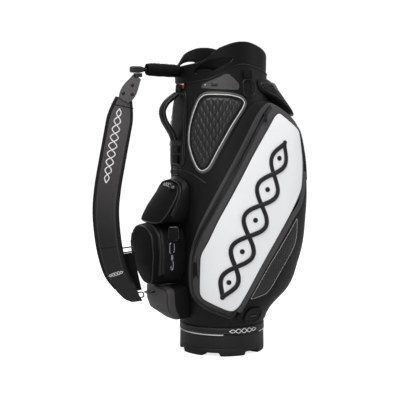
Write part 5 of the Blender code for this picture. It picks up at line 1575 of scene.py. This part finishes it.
class GOLFBAG_OT_stage(bpy.types.Operator):
    """Make the pale floor, the soft studio lights and the camera"""
    bl_idname = "golfbag.stage"
    bl_label = "Stage and camera"

    def execute(self, context):
        scene = context.scene
        turn = np.arange(96) * np.pi / 48
        radii = (0.3, 0.6, 1.2, 3.0, 9.0, 40.0)
        rings = [np.stack([r * np.cos(turn), r * np.sin(turn), 0 * turn], 1) for r in radii]
        floor = loft("floor", rings, [studio_floor()], (0, 0, 0))
        world = bpy.data.worlds.new("studio")
        world.use_nodes = True
        tree = world.node_tree
        tree.nodes.clear()
        seen = node(tree, "ShaderNodeLightPath").outputs["Is Camera Ray"]
        room = node(tree, "ShaderNodeBackground", {"Color": (1, 1, 1, 1), "Strength": 0.45})
        white = node(tree, "ShaderNodeBackground", {"Color": (1, 1, 1, 1), "Strength": 1.05})
        mix = node(tree, "ShaderNodeMixShader", links={0: seen, 1: room.outputs[0], 2: white.outputs[0]})
        node(tree, "ShaderNodeOutputWorld", links={"Surface": mix.outputs[0]})
        scene.world = world
        scene.view_settings.view_transform = "Standard"
        for name, spot, size, power in (("overhead", (-0.3, -0.5, 2.6), 2.2, 40.0),
                                        ("front", (-1.4, -1.8, 2.4), 1.3, 20.0),
                                        ("low", (-0.9, -2.5, 0.35), 1.1, 8.0),
                                        ("side", (2.3, -1.3, 1.2), 1.2, 8.0), ("back", (0.6, 2.4, 1.6), 1.6, 12.0)):
            lamp = bpy.data.lights.new(name, "AREA")
            lamp.shape = "SQUARE"
            lamp.size = size
            lamp.energy = power
            light = bpy.data.objects.new(name, lamp)
            light.location = spot
            light.rotation_euler = (Vector((0, 0, 0.42)) - Vector(spot)).to_track_quat("-Z", "Y").to_euler()
            scene.collection.objects.link(light)
        turn, rise = np.radians(-26.0), np.radians(4.0)
        back = np.array((np.sin(turn) * np.cos(rise), -np.cos(turn) * np.cos(rise), np.sin(rise)))
        right = np.array((np.cos(turn), np.sin(turn), 0.0))
        up = np.cross(back, right)
        target = np.array((0.0, 0.0, 0.44))
        eye = target + back * 2.7
        aim = target - right * 0.0608 - up * 0.0276
        lens = bpy.data.cameras.new("camera")
        lens.sensor_width = 36.0
        lens.lens = 87.97
        camera = bpy.data.objects.new("camera", lens)
        camera.location = eye
        camera.rotation_euler = Vector(aim - eye).to_track_quat("-Z", "Y").to_euler()
        scene.collection.objects.link(camera)
        scene.camera = camera
        return {"FINISHED"}


def studio_floor():
    """Painted board: matt and near white, lit so that it meets the background without a line."""
    tree, shader = fresh("painted_board", {"Roughness": 0.9, "Specular IOR Level": 0.1,
                                           "Emission Color": (1, 1, 1, 1)})
    seen = node(tree, "ShaderNodeLightPath").outputs["Is Camera Ray"]
    glow = node(tree, "ShaderNodeMath", {1: 0.78}, {0: seen}, operation="MULTIPLY")
    tree.links.new(glow.outputs[0], shader.inputs["Emission Strength"])
    source = node(tree, "ShaderNodeTexCoord").outputs["Object"]
    cloud = node(tree, "ShaderNodeTexNoise", {"Scale": 1.5, "Detail": 2.0}, {"Vector": source})
    tinted(tree, shader, cloud.outputs["Fac"], [0.62, 0.62, 0.62], 0.99, 1.01)
    return LOOKS["painted_board"]


# ---------------------------------------------------------------- panel, registration and the run

OPERATORS = (GOLFBAG_OT_materials, GOLFBAG_OT_body, GOLFBAG_OT_base, GOLFBAG_OT_cuff, GOLFBAG_OT_side_pockets,
             GOLFBAG_OT_quilted_panels, GOLFBAG_OT_front_pockets, GOLFBAG_OT_spine, GOLFBAG_OT_handle,
             GOLFBAG_OT_rings, GOLFBAG_OT_strap, GOLFBAG_OT_zip_pulls, GOLFBAG_OT_stage)


class GOLFBAG_PT_sidebar(bpy.types.Panel):
    """The bag's sizes, colours and building steps"""
    bl_label = "Staff Bag"
    bl_idname = "GOLFBAG_PT_sidebar"
    bl_space_type = "VIEW_3D"
    bl_region_type = "UI"
    bl_category = "Staff Bag"

    def draw(self, context):
        for held in (context.scene.golfbag_sizes, context.scene.golfbag_colours):
            for key in held.bl_rna.properties.keys():
                if key not in ("rna_type", "name"):
                    self.layout.prop(held, key)
        for operator in OPERATORS:
            self.layout.operator(operator.bl_idname)


CLASSES = (BagSizes, BagColours, *OPERATORS, GOLFBAG_PT_sidebar)


def register():
    for made in CLASSES:
        bpy.utils.register_class(made)
    bpy.types.Scene.golfbag_sizes = bpy.props.PointerProperty(type=BagSizes)
    bpy.types.Scene.golfbag_colours = bpy.props.PointerProperty(type=BagColours)


def unregister():
    del bpy.types.Scene.golfbag_colours
    del bpy.types.Scene.golfbag_sizes
    for made in reversed(CLASSES):
        bpy.utils.unregister_class(made)


def main():
    register()
    for operator in OPERATORS:
        group, name = operator.bl_idname.split(".")
        getattr(getattr(bpy.ops, group), name)()


if __name__ == "__main__":
    main()
